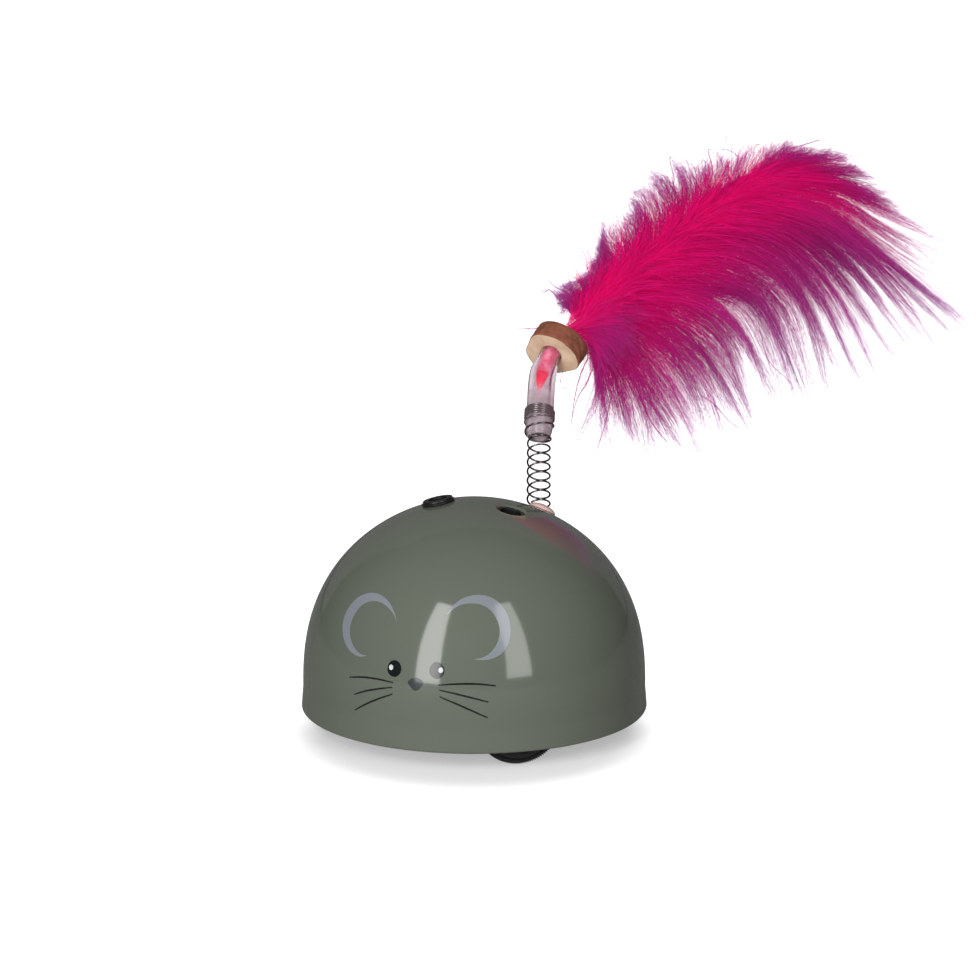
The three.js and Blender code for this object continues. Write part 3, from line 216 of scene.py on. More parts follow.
floor_far = add_node(floor_tree, "ShaderNodeVectorMath", {0: floor_from}, operation="LENGTH").outputs["Value"]
floor_fade = mapped(floor_tree, floor_far, 0.3, 1.0, shadow_reach, shadow_end, "SMOOTHSTEP")
floor_share = combine(floor_tree, "MULTIPLY", floor_fade, floor_seen)
floor_white = add_node(floor_tree, "ShaderNodeEmission", {"Color": linear("ffffff"), "Strength": 1.3})
floor_both = add_node(floor_tree, "ShaderNodeMixShader", {
    0: floor_share, 1: floor_shader.outputs[0], 2: floor_white.outputs[0]})
floor_tree.links.new(floor_both.outputs[0], floor_tree.nodes["Material Output"].inputs["Surface"])
floor_corners = [[x * floor_half, y * floor_half, ground] for x, y in ((-1, -1), (1, -1), (1, 1), (-1, 1))]
floor = make_piece("floor", floor_corners, [[0, 1, 2, 3]], [floor_finish])
front = np.array([0.337, -0.9415, 0.0])
beside = np.array([0.9415, 0.337, 0.0])
for lamp_name, across, up, reach, size, power, mirrored in (
        ("strip_left", -0.59, 0.82, 1.0, (0.33, 1.55), 9.9, True),
        ("strip_right", 0.57, 0.86, 1.0, (0.34, 1.5), 6.3, True),
        ("soft_above", 0.0, 1.5, -0.1, (1.6, 1.6), 1.0, False),
        ("soft_front", -0.3, 0.5, 1.2, (0.8, 0.8), 9.6, False),
        ("soft_behind", 0.3, 0.55, -1.3, (1.2, 1.2), 6.0, False)):
    lamp_data = bpy.data.lights.new(lamp_name, "AREA")
    lamp_data.shape = "RECTANGLE"
    lamp_data.size, lamp_data.size_y = size
    lamp_data.energy = power
    lamp = bpy.data.objects.new(lamp_name, lamp_data)
    bpy.context.scene.collection.objects.link(lamp)
    place = Vector(front * reach + beside * across) + Vector((0, 0, up))
    aim = Vector((0, 0, up)) if mirrored else Vector((0, 0, 0))
    turn = (aim - place).to_track_quat("-Z", "Y").to_matrix().to_4x4()
    lamp.matrix_world = Matrix.Translation(place) @ turn
    lamp.visible_glossy = mirrored
world = bpy.data.worlds.new("studio")
bpy.context.scene.world = world
world.use_nodes = True
sky = world.node_tree
sky.nodes.clear()
toward = add_node(sky, "ShaderNodeTexCoord").outputs["Generated"]


def along(axis, gain):
    """The ray's direction times an axis, times a gain."""
    product = add_node(sky, "ShaderNodeVectorMath", operation="DOT_PRODUCT")
    sky.links.new(toward, product.inputs[0])
    product.inputs[1].default_value = axis * gain
    return product.outputs["Value"]


def edge_mask(ahead, aside):
    """1 inside the backdrop's edge and 0 outside, over a soft border: ahead - |aside| from -0.03 to 0.05."""
    margin = combine(sky, "SUBTRACT", ahead, combine(sky, "ABSOLUTE", aside))
    return mapped(sky, margin, 0.0, 1.0, -0.03, 0.05, "SMOOTHSTEP")


side_mask = edge_mask(along(-front, 0.9), along(beside, 1.0))
top_mask = edge_mask(along(-front, 1.5), along(np.array([0, 0, 1.0]), 1.0))
level = mapped(sky, combine(sky, "MULTIPLY", side_mask, top_mask), 0.04, 0.13)
mirrored_gain = mapped(sky, add_node(sky, "ShaderNodeLightPath").outputs["Is Glossy Ray"], 1.0, 1.25)
level = combine(sky, "MULTIPLY", level, mirrored_gain)
room = add_node(sky, "ShaderNodeBackground", {"Color": linear("ffffff"), "Strength": level})
white = add_node(sky, "ShaderNodeBackground", {"Color": linear("ffffff"), "Strength": 1.0})
either = add_node(sky, "ShaderNodeMixShader", {
    0: seen_straight(sky), 1: room.outputs[0], 2: white.outputs[0]})
add_node(sky, "ShaderNodeOutputWorld", {"Surface": either.outputs[0]})

# Dome shell: one glossy olive-grey moulding, held by four screws from below, with three openings on
# top: two for the sensor pair, the right one chamfered, and one for the tail's plug.
rim_radius, skirt_radius, skirt_height, dome_height, dome_wall = 47.5, 47.05, 5.85, 57.4, 1.9
width_power, height_power = 1.927, 2.419


def dome_curve(inset, steps):
    """Profile (r, z) with (r / reach) ** p + ((z - skirt) / rise) ** q = 1, from the skirt to the top."""
    turn = np.linspace(0, np.pi / 2, steps)
    r = (skirt_radius - inset) * np.cos(turn).clip(0) ** (2 / width_power)
    z = skirt_height + (dome_height - inset - skirt_height) * np.sin(turn) ** (2 / height_power)
    return np.stack([r, z], 1)


def dome_radius(z):
    """The outer radius at a height: straight on the skirt, then the dome's own curve."""
    z = np.asarray(z, float)
    share = ((z - skirt_height) / (dome_height - skirt_height)).clip(0, 1)
    curve = skirt_radius * (1 - share ** height_power) ** (1 / width_power)
    return np.where(z < skirt_height, rim_radius + (skirt_radius - rim_radius) * z / skirt_height, curve)


def dome_seat(x, y):
    """Matrix whose origin lies on the dome at x, y, with Z along the surface normal."""
    r = math.hypot(x, y)
    rise = dome_height - skirt_height
    share = (1 - (r / skirt_radius) ** width_power) ** (1 / height_power)
    outward = width_power * (r / skirt_radius) ** (width_power - 1) / skirt_radius
    upward = height_power * share ** (height_power - 1) / rise
    normal = Vector((x / r * outward, y / r * outward, upward)).normalized()
    turn = Vector((0, 0, 1)).rotation_difference(normal)
    return Matrix.Translation(Vector((x, y, skirt_height + rise * share))) @ turn.to_matrix().to_4x4()


def placed(points, matrix):
    """The points after a 4 x 4 matrix."""
    turn = np.array(matrix.to_3x3())
    return np.asarray(points) @ turn.T + np.array(matrix.translation)


seat_left, seat_right, seat_tail = dome_seat(-9.8, -1.5), dome_seat(11.1, -1.0), dome_seat(12.2, 21.4)
dome_finish = finish("glossy_olive_shell", "646a5f", 0.1, {
    "Specular IOR Level": 0.45, "Coat Weight": 0.35, "Coat Roughness": 0.05})
edge = 0.5
rim_turns = np.linspace(0, 1.5, 6)
rim_round = [[rim_radius - edge + edge * math.sin(a), edge - edge * math.cos(a)] for a in rim_turns]
outer_profile = np.vstack([rim_round, dome_curve(0, 150)[:-1], [[0.02, dome_height]]])
inner_profile = dome_curve(dome_wall, 60)[::-1].copy()
inner_profile[0, 0] = 0.02
foot = [[rim_radius - dome_wall, 0.0]]
dome_profile = np.vstack([outer_profile, inner_profile, foot])
dome_points, dome_faces = lathe(dome_profile, 240)
dome = make_piece("dome_skin", dome_points, dome_faces, [dome_finish])


def turned(name, profile, columns, seat, made, body=None, close=True):
    """A piece turned from a profile of (r, z) about the axis of its seat on the dome."""
    points, faces = lathe(profile, columns, close)
    return make_piece(name, placed(points, seat), faces, [made], body)


small, hole_radius, tail_hole, cut_low, cut_high = 0.002, 3.85, 3.2, -6, 3
chamfer_steps = ((0, -0.75), (0.2, -0.62), (0.75, -0.08), (0.95, 0.1), (0.95, cut_high))
chamfer = [[hole_radius + out, z] for out, z in chamfer_steps]
cutters = [
    turned(name, [[small, cut_low], [radius, cut_low], *upper, [small, cut_high]], 96, seat, dome_finish)
    for name, seat, radius, upper in (("cut_left", seat_left, hole_radius, [[hole_radius, cut_high]]),
                                      ("cut_right", seat_right, hole_radius, chamfer),
                                      ("cut_tail", seat_tail, tail_hole, [[tail_hole, cut_high]]))]
bpy.context.view_layer.update()
for tool in cutters:
    cut = dome.modifiers.new(tool.name, "BOOLEAN")
    cut.object, cut.operation, cut.solver = tool, "DIFFERENCE", "EXACT"
dome.data.polygons.foreach_set("use_smooth", np.ones(len(dome.data.polygons), bool))
cut_mesh = bpy.data.meshes.new_from_object(dome.evaluated_get(bpy.context.evaluated_depsgraph_get()))
dome.modifiers.clear()
dome.data = cut_mesh
for tool in cutters:
    bpy.data.objects.remove(tool)


def profile_normals(mesh, profile):
    """Loop normals that follow the turned profile where a face lies on it, and the flat face elsewhere."""
    count = len(mesh.vertices)
    points = np.empty(count * 3)
    mesh.vertices.foreach_get("co", points)
    points = points.reshape(-1, 3) * 1000
    radius, height = np.hypot(points[:, 0], points[:, 1]), points[:, 2]
    ahead, behind = np.roll(profile, -1, 0), np.roll(profile, 1, 0)
    slope = ahead - behind
    outward = np.stack([slope[:, 1], -slope[:, 0]], 1)
    outward /= np.linalg.norm(outward, axis=1)[:, None] + 1e-12
    along_profile = ahead - profile
    length = (along_profile ** 2).sum(1) + 1e-12
    normals, gaps = np.empty((count, 3)), np.empty(count)
    for start in range(0, count, 4000):
        part = slice(start, start + 4000)
        offset = np.stack([radius[part], height[part]], 1)[:, None] - profile[None]
        share = ((offset * along_profile).sum(2) / length).clip(0, 1)
        gap = np.linalg.norm(offset - share[..., None] * along_profile, axis=2)
        best = gap.argmin(1)
        pick = np.arange(len(best))
        t = share[pick, best][:, None]
        flat = outward[best] * (1 - t) + np.roll(outward, -1, 0)[best] * t
        flat /= np.linalg.norm(flat, axis=1)[:, None]
        spoke = points[part, :2] / (radius[part][:, None] + 1e-9)
        normals[part] = np.column_stack([spoke * flat[:, :1], flat[:, 1]])
        gaps[part] = gap[pick, best]
    loops = np.empty(len(mesh.loops), np.int32)
    mesh.loops.foreach_get("vertex_index", loops)
    totals = np.empty(len(mesh.polygons), np.int32)
    mesh.polygons.foreach_get("loop_total", totals)
    faces = np.empty(len(mesh.polygons) * 3)
    mesh.polygons.foreach_get("normal", faces)
    flat = np.repeat(faces.reshape(-1, 3), totals, axis=0)
    smooth = normals[loops]
    on_profile = (gaps[loops] < 0.03) & ((smooth * flat).sum(1) > 0.6)
    result = np.where(on_profile[:, None], smooth, flat)
    mesh.normals_split_custom_set([tuple(n) for n in result])


profile_normals(dome.data, dome_profile)
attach(dome, "housing")
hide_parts("dome_shell")

# Posts inside the dome: four for the case screws and two for the board's, moulded with the shell.
post_points, post_faces = [], []
base_turn, post_reach, board_post_reach, post_wall = math.radians(37 - 90), 39.4, 13.5, 1.7
post_turns = [base_turn + math.radians(a) for a in (65, 115, -35, 215)]
posts = [(post_reach * math.cos(a), post_reach * math.sin(a), 3.1, 5.3, 30.2) for a in post_turns]
posts += [(0, board_post_reach * side, 2.5, 44.9, 54.2) for side in (-1, 1)]
for x, y, r, low, high in posts:
    points, faces = lathe([[r - post_wall, low], [r, low], [r, high], [r - post_wall, high]], 32)
    post_faces.append(faces + sum(len(p) for p in post_points))
    post_points.append(points + [x, y, 0])
make_piece("dome_posts", np.vstack(post_points), np.vstack(post_faces), [dome_finish], "housing",
           False)

# Printed face: ink a hair thick on the dome, from outlines in degrees round it and millimetres up.
ink_gloss, ink_coat = 0.16, {"Coat Weight": 0.3, "Coat Roughness": 0.05}
ink_dark = finish("black_ink", "161719", ink_gloss, ink_coat)
ink_nose = finish("charcoal_ink", "33373a", ink_gloss, ink_coat)
ink_ear = finish("lilac_grey_ink", "83888f", ink_gloss, ink_coat)
ink_light = finish("pale_ink", "cfd3d6", ink_gloss)


def on_dome(azimuth, height, lift):
    """Points at an azimuth in degrees from the face's direction and a height, lifted off the surface."""
    turn = np.radians(azimuth)
    r = dome_radius(height) + lift
    return np.stack([r * np.sin(turn), -r * np.cos(turn), np.asarray(height, float) + 0 * turn], -1)


def catmull(a, b, c, d, u):
    """Catmull-Rom curve at a share u of the span from b to c."""
    square, cube = 2 * a - 5 * b + 4 * c - d, 3 * b - a - 3 * c + d
    return 0.5 * (2 * b + (c - a) * u + square * u ** 2 + cube * u ** 3)


def flow(points, count):
    """Catmull-Rom curve through the points, count samples evenly spread over its spans."""
    p = np.asarray(points, float)
    p = np.vstack([2 * p[0] - p[1], p, 2 * p[-1] - p[-2]])
    t = np.linspace(0, len(p) - 3, count)
    i = np.minimum(t.astype(int), len(p) - 4)
    return catmull(p[i], p[i + 1], p[i + 2], p[i + 3], (t - i)[:, None])


def print_band(name, one, other, rows, made, lift=0.03):
    """Ink between two curves of (azimuth, height)."""
    share = np.linspace(0, 1, rows)[:, None, None]
    place = (one[None] * (1 - share) + other[None] * share)
    points = on_dome(place[..., 0], place[..., 1], lift).reshape(-1, 3)
    return make_piece(name, points, grid(rows, len(one)), [made], "housing")


def print_disc(name, middle, size, made, lift=0.03, outline=None):
    """Ink inside an ellipse, or inside a closed outline, about its middle."""
    turn = np.linspace(0, 2 * np.pi, 49)[:-1]
    if outline is None:
        degrees = math.degrees(1 / float(dome_radius(middle[1])))
        edge = np.stack([middle[0] + degrees * size[0] * np.cos(turn), middle[1] + size[1] * np.sin(turn)], 1)
    else:
        edge = flow(np.vstack([outline, outline[:1]]), 49)[:-1]
    share = np.linspace(0.001, 1, 8)[:, None, None]
    place = np.array(middle)[None, None] * (1 - share) + edge[None] * share
    points = on_dome(place[..., 0], place[..., 1], lift).reshape(-1, 3)
    return make_piece(name, points, grid(8, 48, False, True), [made], "housing")


ears = {
    "left": ([(-9.35, 32.65), (-11.5, 35.0), (-15.6, 37.3), (-21.0, 38.45), (-26.5, 38.3), (-31.6, 36.6),
              (-34.4, 33.6), (-34.7, 30.4), (-32.9, 27.4), (-29.5, 24.7), (-25.4, 23.1), (-21.8, 22.8),
              (-19.0, 23.47)],
             [(-9.35, 32.65), (-11.6, 34.5), (-15.5, 36.1), (-20.1, 36.8), (-24.5, 36.4), (-28.0, 34.9),
              (-29.7, 32.4), (-29.9, 29.8), (-28.4, 27.1), (-25.7, 24.95), (-22.9, 23.75), (-21.0, 23.4),
              (-19.0, 23.47)]),
    "right": ([(9.4, 35.6), (11.3, 37.7), (15.0, 39.5), (20.0, 40.3), (25.1, 40.0), (29.4, 38.5),
               (32.1, 35.8), (32.8, 32.5), (31.7, 29.0), (29.1, 26.4), (25.4, 25.1), (22.4, 24.8),
               (19.5, 25.05)],
              [(9.4, 35.6), (11.4, 36.9), (14.4, 38.0), (18.1, 38.4), (22.4, 38.1), (25.9, 36.8),
               (28.1, 34.5), (28.8, 32.0), (27.9, 29.4), (25.9, 27.2), (23.7, 25.9), (21.6, 25.3),
               (19.5, 25.05)])}
for side, (outer_line, inner_line) in ears.items():
    print_band(f"ear_print_{side}", flow(outer_line, 96), flow(inner_line, 96), 4, ink_ear)
whiskers = {
    "left_1": [(-25.7, 16.8), (-19.8, 17.7), (-13.6, 18.0), (-7.6, 17.75)],
    "left_2": [(-22.95, 12.6), (-17.9, 14.3), (-12.9, 15.5), (-7.8, 16.5)],
    "left_3": [(-22.5, 8.4), (-17.7, 10.8), (-12.7, 12.9), (-7.65, 14.7)],
    "right_1": [(8.1, 18.25), (14.3, 18.7), (20.7, 18.75), (26.65, 18.2)],
    "right_2": [(8.35, 16.95), (13.9, 16.1), (19.1, 15.1), (24.2, 14.0)],
    "right_3": [(8.5, 15.2), (13.9, 13.5), (19.1, 11.65), (24.0, 9.8)]}
half_width = 0.25
flat = np.array([math.radians(47.3), 1])
for label, line in whiskers.items():
    middle_line = flow(line, 30)
    in_plane = middle_line * flat
    slope = np.gradient(in_plane, axis=0)
    slope /= np.linalg.norm(slope, axis=1)[:, None]
    half = half_width * (0.55 + 0.45 * np.sin(np.linspace(0.25, np.pi - 0.25, 30)))[:, None]
    across = np.stack([-slope[:, 1], slope[:, 0]], 1) * half / flat
    one, other = middle_line - across, middle_line + across
    print_band(f"whisker_print_{label}", one, other, 3, ink_dark)
for side, middle, glint in (("left", (-7.6, 21.4), (-8.8, 21.6)), ("right", (7.35, 21.95), (8.65, 22.1))):
    print_disc(f"eye_print_{side}", middle, (2.05, 2.15), ink_dark)
    print_disc(f"eye_glint_{side}", glint, (0.62, 0.7), ink_light, 0.06)
print_disc("nose_print", (0.2, 18.0), None, ink_nose, outline=[
    (-2.4, 18.3), (-1.9, 18.95), (-0.9, 19.45), (0.2, 19.7), (1.5, 19.55), (2.6, 19.1), (3.0, 18.55),
    (2.7, 17.8), (1.9, 17.0), (1.0, 16.45), (0.3, 16.3), (-0.5, 16.5), (-1.4, 17.2), (-2.1, 17.8)])

# Black ring: a stepped, hollow collar of glossy plastic, snapped into the left opening.
ring_finish = finish("glossy_black_plastic", "161717", 0.4)
ring_profile = rounded([[2.5, -2.8], [3.55, -2.8], [3.55, 0.1], [4.6, 0.04], [4.6, 0.45], [4.2, 0.6],
                        [4.1, 1.15], [2.75, 1.15], [2.5, 0.9]], 0.14)
ring = turned("sensor_collar", ring_profile, 96, seat_left, ring_finish, "housing")
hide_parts("sensor_ring")

# Black sleeve: a thin liner pushed into the right opening, just below its chamfer.
sleeve_profile = rounded([[2.85, -2.8], [3.6, -2.8], [3.78, -0.95], [3.7, -0.86], [2.95, -0.95]], 0.1)
sleeve = turned("sensor_liner", sleeve_profile, 72, seat_right, ring_finish, "housing")
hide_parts("sensor_sleeve")

# Tail plug: soft translucent pink silicone, pushed into the dome; its domed flange carries the spring.
plug_finish = finish("pale_pink_silicone", "ecc8c2", 0.35, {"Coat Weight": 0.2})
plug_profile = rounded([[0.01, -4.1], [2.6, -4.1], [3.55, -2.5], [2.9, -2.5], [2.9, 0.1], [3.85, 0.05],
                        [3.95, 0.45], [3.6, 0.95], [2.9, 1.4], [1.8, 1.78], [0.01, 1.95]], 0.45, 7, False)
plug = turned("tail_plug_form", plug_profile, 72, seat_tail, plug_finish, "housing", False)
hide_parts("tail_plug")

# Tail line: the curve from the plug through spring, tube and slice to the plume, as in the solids.
plug_seat = np.array(seat_tail.translation)
tail_shares = np.array([
    [-0.014, 0.016, 0.015], [-0.058, 0.148, 0.174], [-0.068, 0.182, 0.224], [-0.075, 0.211, 0.258],
    [-0.088, 0.264, 0.317], [-0.089, 0.285, 0.341], [-0.084, 0.318, 0.376], [-0.076, 0.358, 0.397],
    [-0.072, 0.391, 0.415], [-0.067, 0.417, 0.429]])


def centripetal(points, per_span):
    """Catmull-Rom curve whose knots are the square roots of the spans between the points."""
    p = np.vstack([2 * points[0] - points[1], points, 2 * points[-1] - points[-2]])
    t = np.linspace(0, 1, per_span, endpoint=False)[:, None]
    out = []
    for a, b, c, d in zip(p, p[1:], p[2:], p[3:]):
        k0, k1, k2 = (math.sqrt(np.linalg.norm(v)) for v in (b - a, c - b, d - c))
        m1 = ((b - a) / k0 - (c - a) / (k0 + k1) + (c - b) / k1) * k1
        m2 = ((c - b) / k1 - (d - b) / (k1 + k2) + (d - c) / k2) * k1
        out.append(b + m1 * t + (3 * (c - b) - 2 * m1 - m2) * t ** 2 + (2 * (b - c) + m1 + m2) * t ** 3)
    return np.vstack([*out, points[-1:]])


line_points = centripetal(plug_seat + 100 * tail_shares, 120)
line_steps = np.linalg.norm(np.diff(line_points, axis=0), axis=1)
line_along = np.concatenate([[0], np.cumsum(line_steps)])
line_length = line_along[-1]
line_tangent = np.gradient(line_points, line_along, axis=0)
line_tangent /= np.linalg.norm(line_tangent, axis=1)[:, None]
line_across = np.empty_like(line_tangent)
carried = np.array([1.0, 0, 0])
for i, tangent in enumerate(line_tangent):
    carried = carried - tangent * (carried @ tangent)
    carried /= np.linalg.norm(carried)
    line_across[i] = carried
line_upward = np.cross(line_tangent, line_across)


def read_rows(table, known, places):
    """A table whose rows stand at known places, read at other places in a straight line between them."""
    return np.stack([np.interp(places, known, column) for column in table.T], -1)


def on_line(distance, table):
    """A table of vectors on the tail's line, read at distances along it."""
    distance = np.asarray(distance, float)
    read = read_rows(table, line_along, distance)
    past = np.where(distance < 0, distance, np.maximum(distance - line_length, 0))
    if table is line_points:
        read = read + past[..., None] * np.where(distance[..., None] < 0, line_tangent[0], line_tangent[-1])
    return read


def round_line(distance, radius, angle):
    """Points at a radius and angle about the tail's line."""
    return (on_line(distance, line_points) + np.asarray(radius)[..., None] * (
        np.cos(angle)[..., None] * on_line(distance, line_across)
        + np.sin(angle)[..., None] * on_line(distance, line_upward)))


def tube_along(path, radius, sides):
    """Rings about a path of points, carried along it without twist, with quads between them."""
    tangent = np.gradient(path, axis=0)
    tangent /= np.linalg.norm(tangent, axis=1)[:, None]
    side = np.cross(tangent[0], [0.3, 0.2, 0.9])
    angle = np.linspace(0, 2 * np.pi, sides, endpoint=False)
    rings = []
    for point, ahead, r in zip(path, tangent, np.broadcast_to(radius, len(path))):
        side = side - ahead * (side @ ahead)
        side /= np.linalg.norm(side)
        up = np.cross(ahead, side)
        rings.append(point + r * (np.cos(angle)[:, None] * side + np.sin(angle)[:, None] * up))
    return np.vstack(rings), grid(len(path), sides, False, True)


# Tail spring: dark drawn wire, seven open turns from the plug, one long turn over the tube's end and
# a close-wound band that grips it; it spans two joints, and it is made in two lengths, split half way to the
# tube.
drawn_marks = (900.0, 0.00002)
spring_finish = finish("dark_spring_wire", "918888", 0.24, {"Metallic": 1.0}, drawn_marks)
# The close-wound band takes a lighter, less metallic copy of the same wire's finish: a painted highlight for
# how the band catches the light.
band_lit_wire_finish = finish("spring_band_painted_lighter", "a29195", 0.22, {"Metallic": 0.75}, drawn_marks)
wire, coil_radius, free_turns, free_pitch, entry_pitch, tube_start = 0.28, 3.15, 7.0, 2.95, 4.2, 21.28
band_turns, band_pitch, first_pitch, grip_radius, lip_step, lip_length = 6.0, 0.58, 1.9, 4.12, 0.3, 3.5
plug_up = np.array(seat_tail.to_3x3())[:, 2]
lag = math.atan2(plug_up @ line_upward[0], plug_up @ line_across[0]) + math.radians(17)
turns = np.linspace(-0.3, free_turns + 1 + band_turns, int((free_turns + 1.3 + band_turns) * 28) + 1)
entry = (turns - free_turns).clip(0, 1)
band = (turns - free_turns - 1).clip(0)
spring_along = np.minimum(turns, free_turns) * free_pitch + entry * entry_pitch
spring_along = spring_along + band.clip(0, 1) * first_pitch + (band - 1).clip(0) * band_pitch
onto_lip = ((spring_along - tube_start + 1.6) / 1.6).clip(0, 1)
up_lip = np.sin(((spring_along - tube_start) / lip_length).clip(0, 1) * np.pi / 2)
spring_radius = coil_radius + lip_step * onto_lip + (grip_radius - coil_radius - lip_step) * up_lip
spring_path = round_line(spring_along, spring_radius, lag + 2 * np.pi * turns)
spring_lean = 0.1 * ((spring_path - on_line(spring_along, line_points)) @ camera_axes[2]) * (1 - entry)
spring_path += spring_lean[:, None] * on_line(spring_along, line_tangent)
half_way = tube_start / 2
split = int(np.searchsorted(spring_along, half_way))
for name, part, bodies, ends in (
        ("spring_lower", slice(0, split + 1), ("housing", "tail_spring"), (0.5, half_way - 0.5)),
        ("spring_upper", slice(split, None), ("tail_spring", "tail"), (half_way + 0.5, tube_start - 0.5))):
    points, faces = tube_along(spring_path[part], wire, 8)
    in_band = np.repeat(turns[part][:-1] > free_turns + 1.5, 8)
    spring = make_piece(name, points, faces, [spring_finish, band_lit_wire_finish], index=in_band)
    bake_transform(spring)
    if name == "spring_lower":
        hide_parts("tail_spring")

# Tail tube: translucent soft vinyl, tapered at its cut lower end, which the spring grips.
tube_finish = finish("translucent_vinyl", "dccdd4", 0.16, {"IOR": 1.36, "Transmission Weight": 0.7},
                     speckle=(300.0, "bdaab2", 0.8))
tube_tree = tube_finish.node_tree
tube_clear = add_node(tube_tree, "ShaderNodeAttribute", attribute_name="clear").outputs["Fac"]
tube_passes = mapped(tube_tree, tube_clear, 0.62, 0.97)
tube_tree.links.new(tube_passes, tube_tree.nodes["Principled BSDF"].inputs["Transmission Weight"])
# The inner wall's first 2.5 mm at the tube's lower end takes a darker, less clear copy of the vinyl: painted
# shade inside the tube's mouth.
tube_mouth_shade_finish = finish("vinyl_mouth_painted_shade", "8f8288", 0.45, {"IOR": 1.36, "Transmission Weight": 0.3})
bead_along = 0.886 * line_length
stations = np.linspace(0, 1, 60)
tube_along_line = tube_start + (bead_along - tube_start) * stations
lip = ((tube_along_line - tube_start) / lip_length).clip(0, 1)
neck = ((tube_along_line - bead_along + 10.5) / 6).clip(0, 1)
tube_outer = 3.15 + 0.7 * np.sin(lip * np.pi / 2) - 0.85 * neck ** 2 * (3 - 2 * neck)
turn_64 = np.linspace(0, 2 * np.pi, 64, endpoint=False)
outer_rings = round_line(tube_along_line[:, None] + 0 * turn_64, tube_outer[:, None] + 0 * turn_64,
                         turn_64 + 0 * tube_along_line[:, None])
inner_rings = round_line(tube_along_line[::-1, None] + 0 * turn_64, 2.3 + 0 * outer_rings[..., 0],
                         turn_64 + 0 * tube_along_line[:, None])
tube_points = np.concatenate([outer_rings, inner_rings]).reshape(-1, 3)
tube_rows = np.concatenate([tube_along_line, tube_along_line[::-1]])
# Rows of the inner wall near the lower end, which take the painted shade.
tube_mouth_shade_rows = (tube_rows < tube_start + 2.5) & (np.arange(120) >= 60)
tube = make_piece("tail_tube_form", tube_points, grid(120, 64, True, True), [tube_finish, tube_mouth_shade_finish], "tail",
                  index=np.repeat(tube_mouth_shade_rows, 64))
clear_layer = tube.data.attributes.new("clear", "FLOAT", "POINT")
clear_layer.data.foreach_set("value", np.repeat(((tube_rows - bead_along + 18.5) / 3).clip(0, 1), 64)
                             .astype(np.float32))
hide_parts("tail_tube")

# Feather quill: a dyed shaft inside the tube, pale pink with darker streaks and a red pointed tip; shaft and
# tip glow faintly in their own colours, a painted glow for light that passes through the tube.
quill_dye_glow_finish = finish("quill_dye_painted_glow", "ffb4cc", 0.4, {
    "Emission Color": linear("ff90b4"), "Emission Strength": 0.4}, speckle=(420.0, "e8105c", 1.6))
quill_tip_dye_glow_finish = finish("quill_tip_dye_painted_glow", "e00048", 0.4, {
    "Emission Color": linear("f00048"), "Emission Strength": 0.8})
quill_start, quill_end = bead_along - 17.6, line_length + 0.8
point_radius, swell, point_length, thinning, thin_length = 0.15, 1.95, 8.0, 1.3, 5.5
red_length, tip_aside, lean_length = 6.4, 0.7, 9.0
quill_along = np.linspace(quill_start, quill_end, 60)
quill_radius = point_radius + swell * ((quill_along - quill_start) / point_length).clip(0, 1) ** 0.85
thin_share = ((quill_along - quill_end + thin_length) / thin_length).clip(0, 1)
quill_radius -= thinning * np.sin(thin_share * np.pi / 2) ** 2
quill_path = on_line(quill_along, line_points)
quill_path -= tip_aside * (1 - (quill_along - quill_start) / lean_length).clip(0)[:, None] * camera_axes[0]
quill_points, quill_faces = tube_along(quill_path, quill_radius, 24)
quill = make_piece("quill_form", quill_points, quill_faces, [quill_dye_glow_finish, quill_tip_dye_glow_finish], "tail",
                   index=(np.repeat(quill_along[:-1], 24) < quill_start + red_length))
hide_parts("feather_quill")

# Wood slice: a disc sawn from a branch, pale on its cut faces with bark left round it, on the tube's end.
wood_finish = finish("sawn_pale_wood", "eccfb4", 0.75, None, (900.0, 0.00008), (300.0, "cda684", 0.8))
bark_finish = finish("brown_bark", "985a44", 0.85, None, (700.0, 0.0005), (330.0, "71412f", 1.0))
bead_place = on_line(bead_along, line_points)
bead_axis = on_line(bead_along, line_tangent)
bead_turn = Vector((0, 0, 1)).rotation_difference(Vector(bead_axis)).to_matrix()
bead_matrix = Matrix.Translation(Vector(bead_place)) @ bead_turn.to_4x4()
turn_bead = np.linspace(0, 2 * np.pi, 180, endpoint=False)
uneven = 0.32 * (np.sin(3 * turn_bead + 1) + np.sin(5 * turn_bead) / 2)
rim_x, rim_y = (8.1 + uneven) * np.cos(turn_bead), (6.7 + uneven) * np.sin(turn_bead)
rings, kinds = [], []
generator = np.random.default_rng(5)
ripple = sum(np.sin(k * turn_bead + generator.uniform(0, 6.3)) / k for k in (9, 14, 23, 31)) * 0.14
hole, low, high, cut_share, bark_share = 3.15, -3.7, 2.9, 0.94, 0.96
bark_rows = [(1.0 + 0.012 * math.sin(math.pi * (k / 9)), -3.62 + 6.44 * k / 9, 1) for k in range(10)]
for share, z, kind in ([(s, low, 0) for s in np.linspace(0, cut_share, 12)] + [(bark_share, low, 1)]
                       + bark_rows + [(bark_share, high, 1)]
                       + [(s, high, 0) for s in np.linspace(cut_share, 0, 12)]):
    x = hole * np.cos(turn_bead) * (1 - share) + rim_x * share
    y = hole * np.sin(turn_bead) * (1 - share) + rim_y * share
    if kind:
        wobble = 1 + (ripple + 0.08 * np.sin(7 * turn_bead + 2.2 * z)) / 7.5
        x, y = x * wobble, y * wobble
    rings.append(np.stack([x, y, np.full_like(x, z) + (0.12 * np.sin(2 * turn_bead) * share)], 1))
    kinds.append(kind)
bead_points = placed(np.vstack(rings), bead_matrix)
kinds = np.array(kinds)
row_kind = kinds & np.roll(kinds, -1)
bead = make_piece("wood_slice", bead_points, grid(len(rings), 180, True, True), [wood_finish, bark_finish],
                  "tail", index=np.repeat(row_kind, 180))
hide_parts("wood_bead")

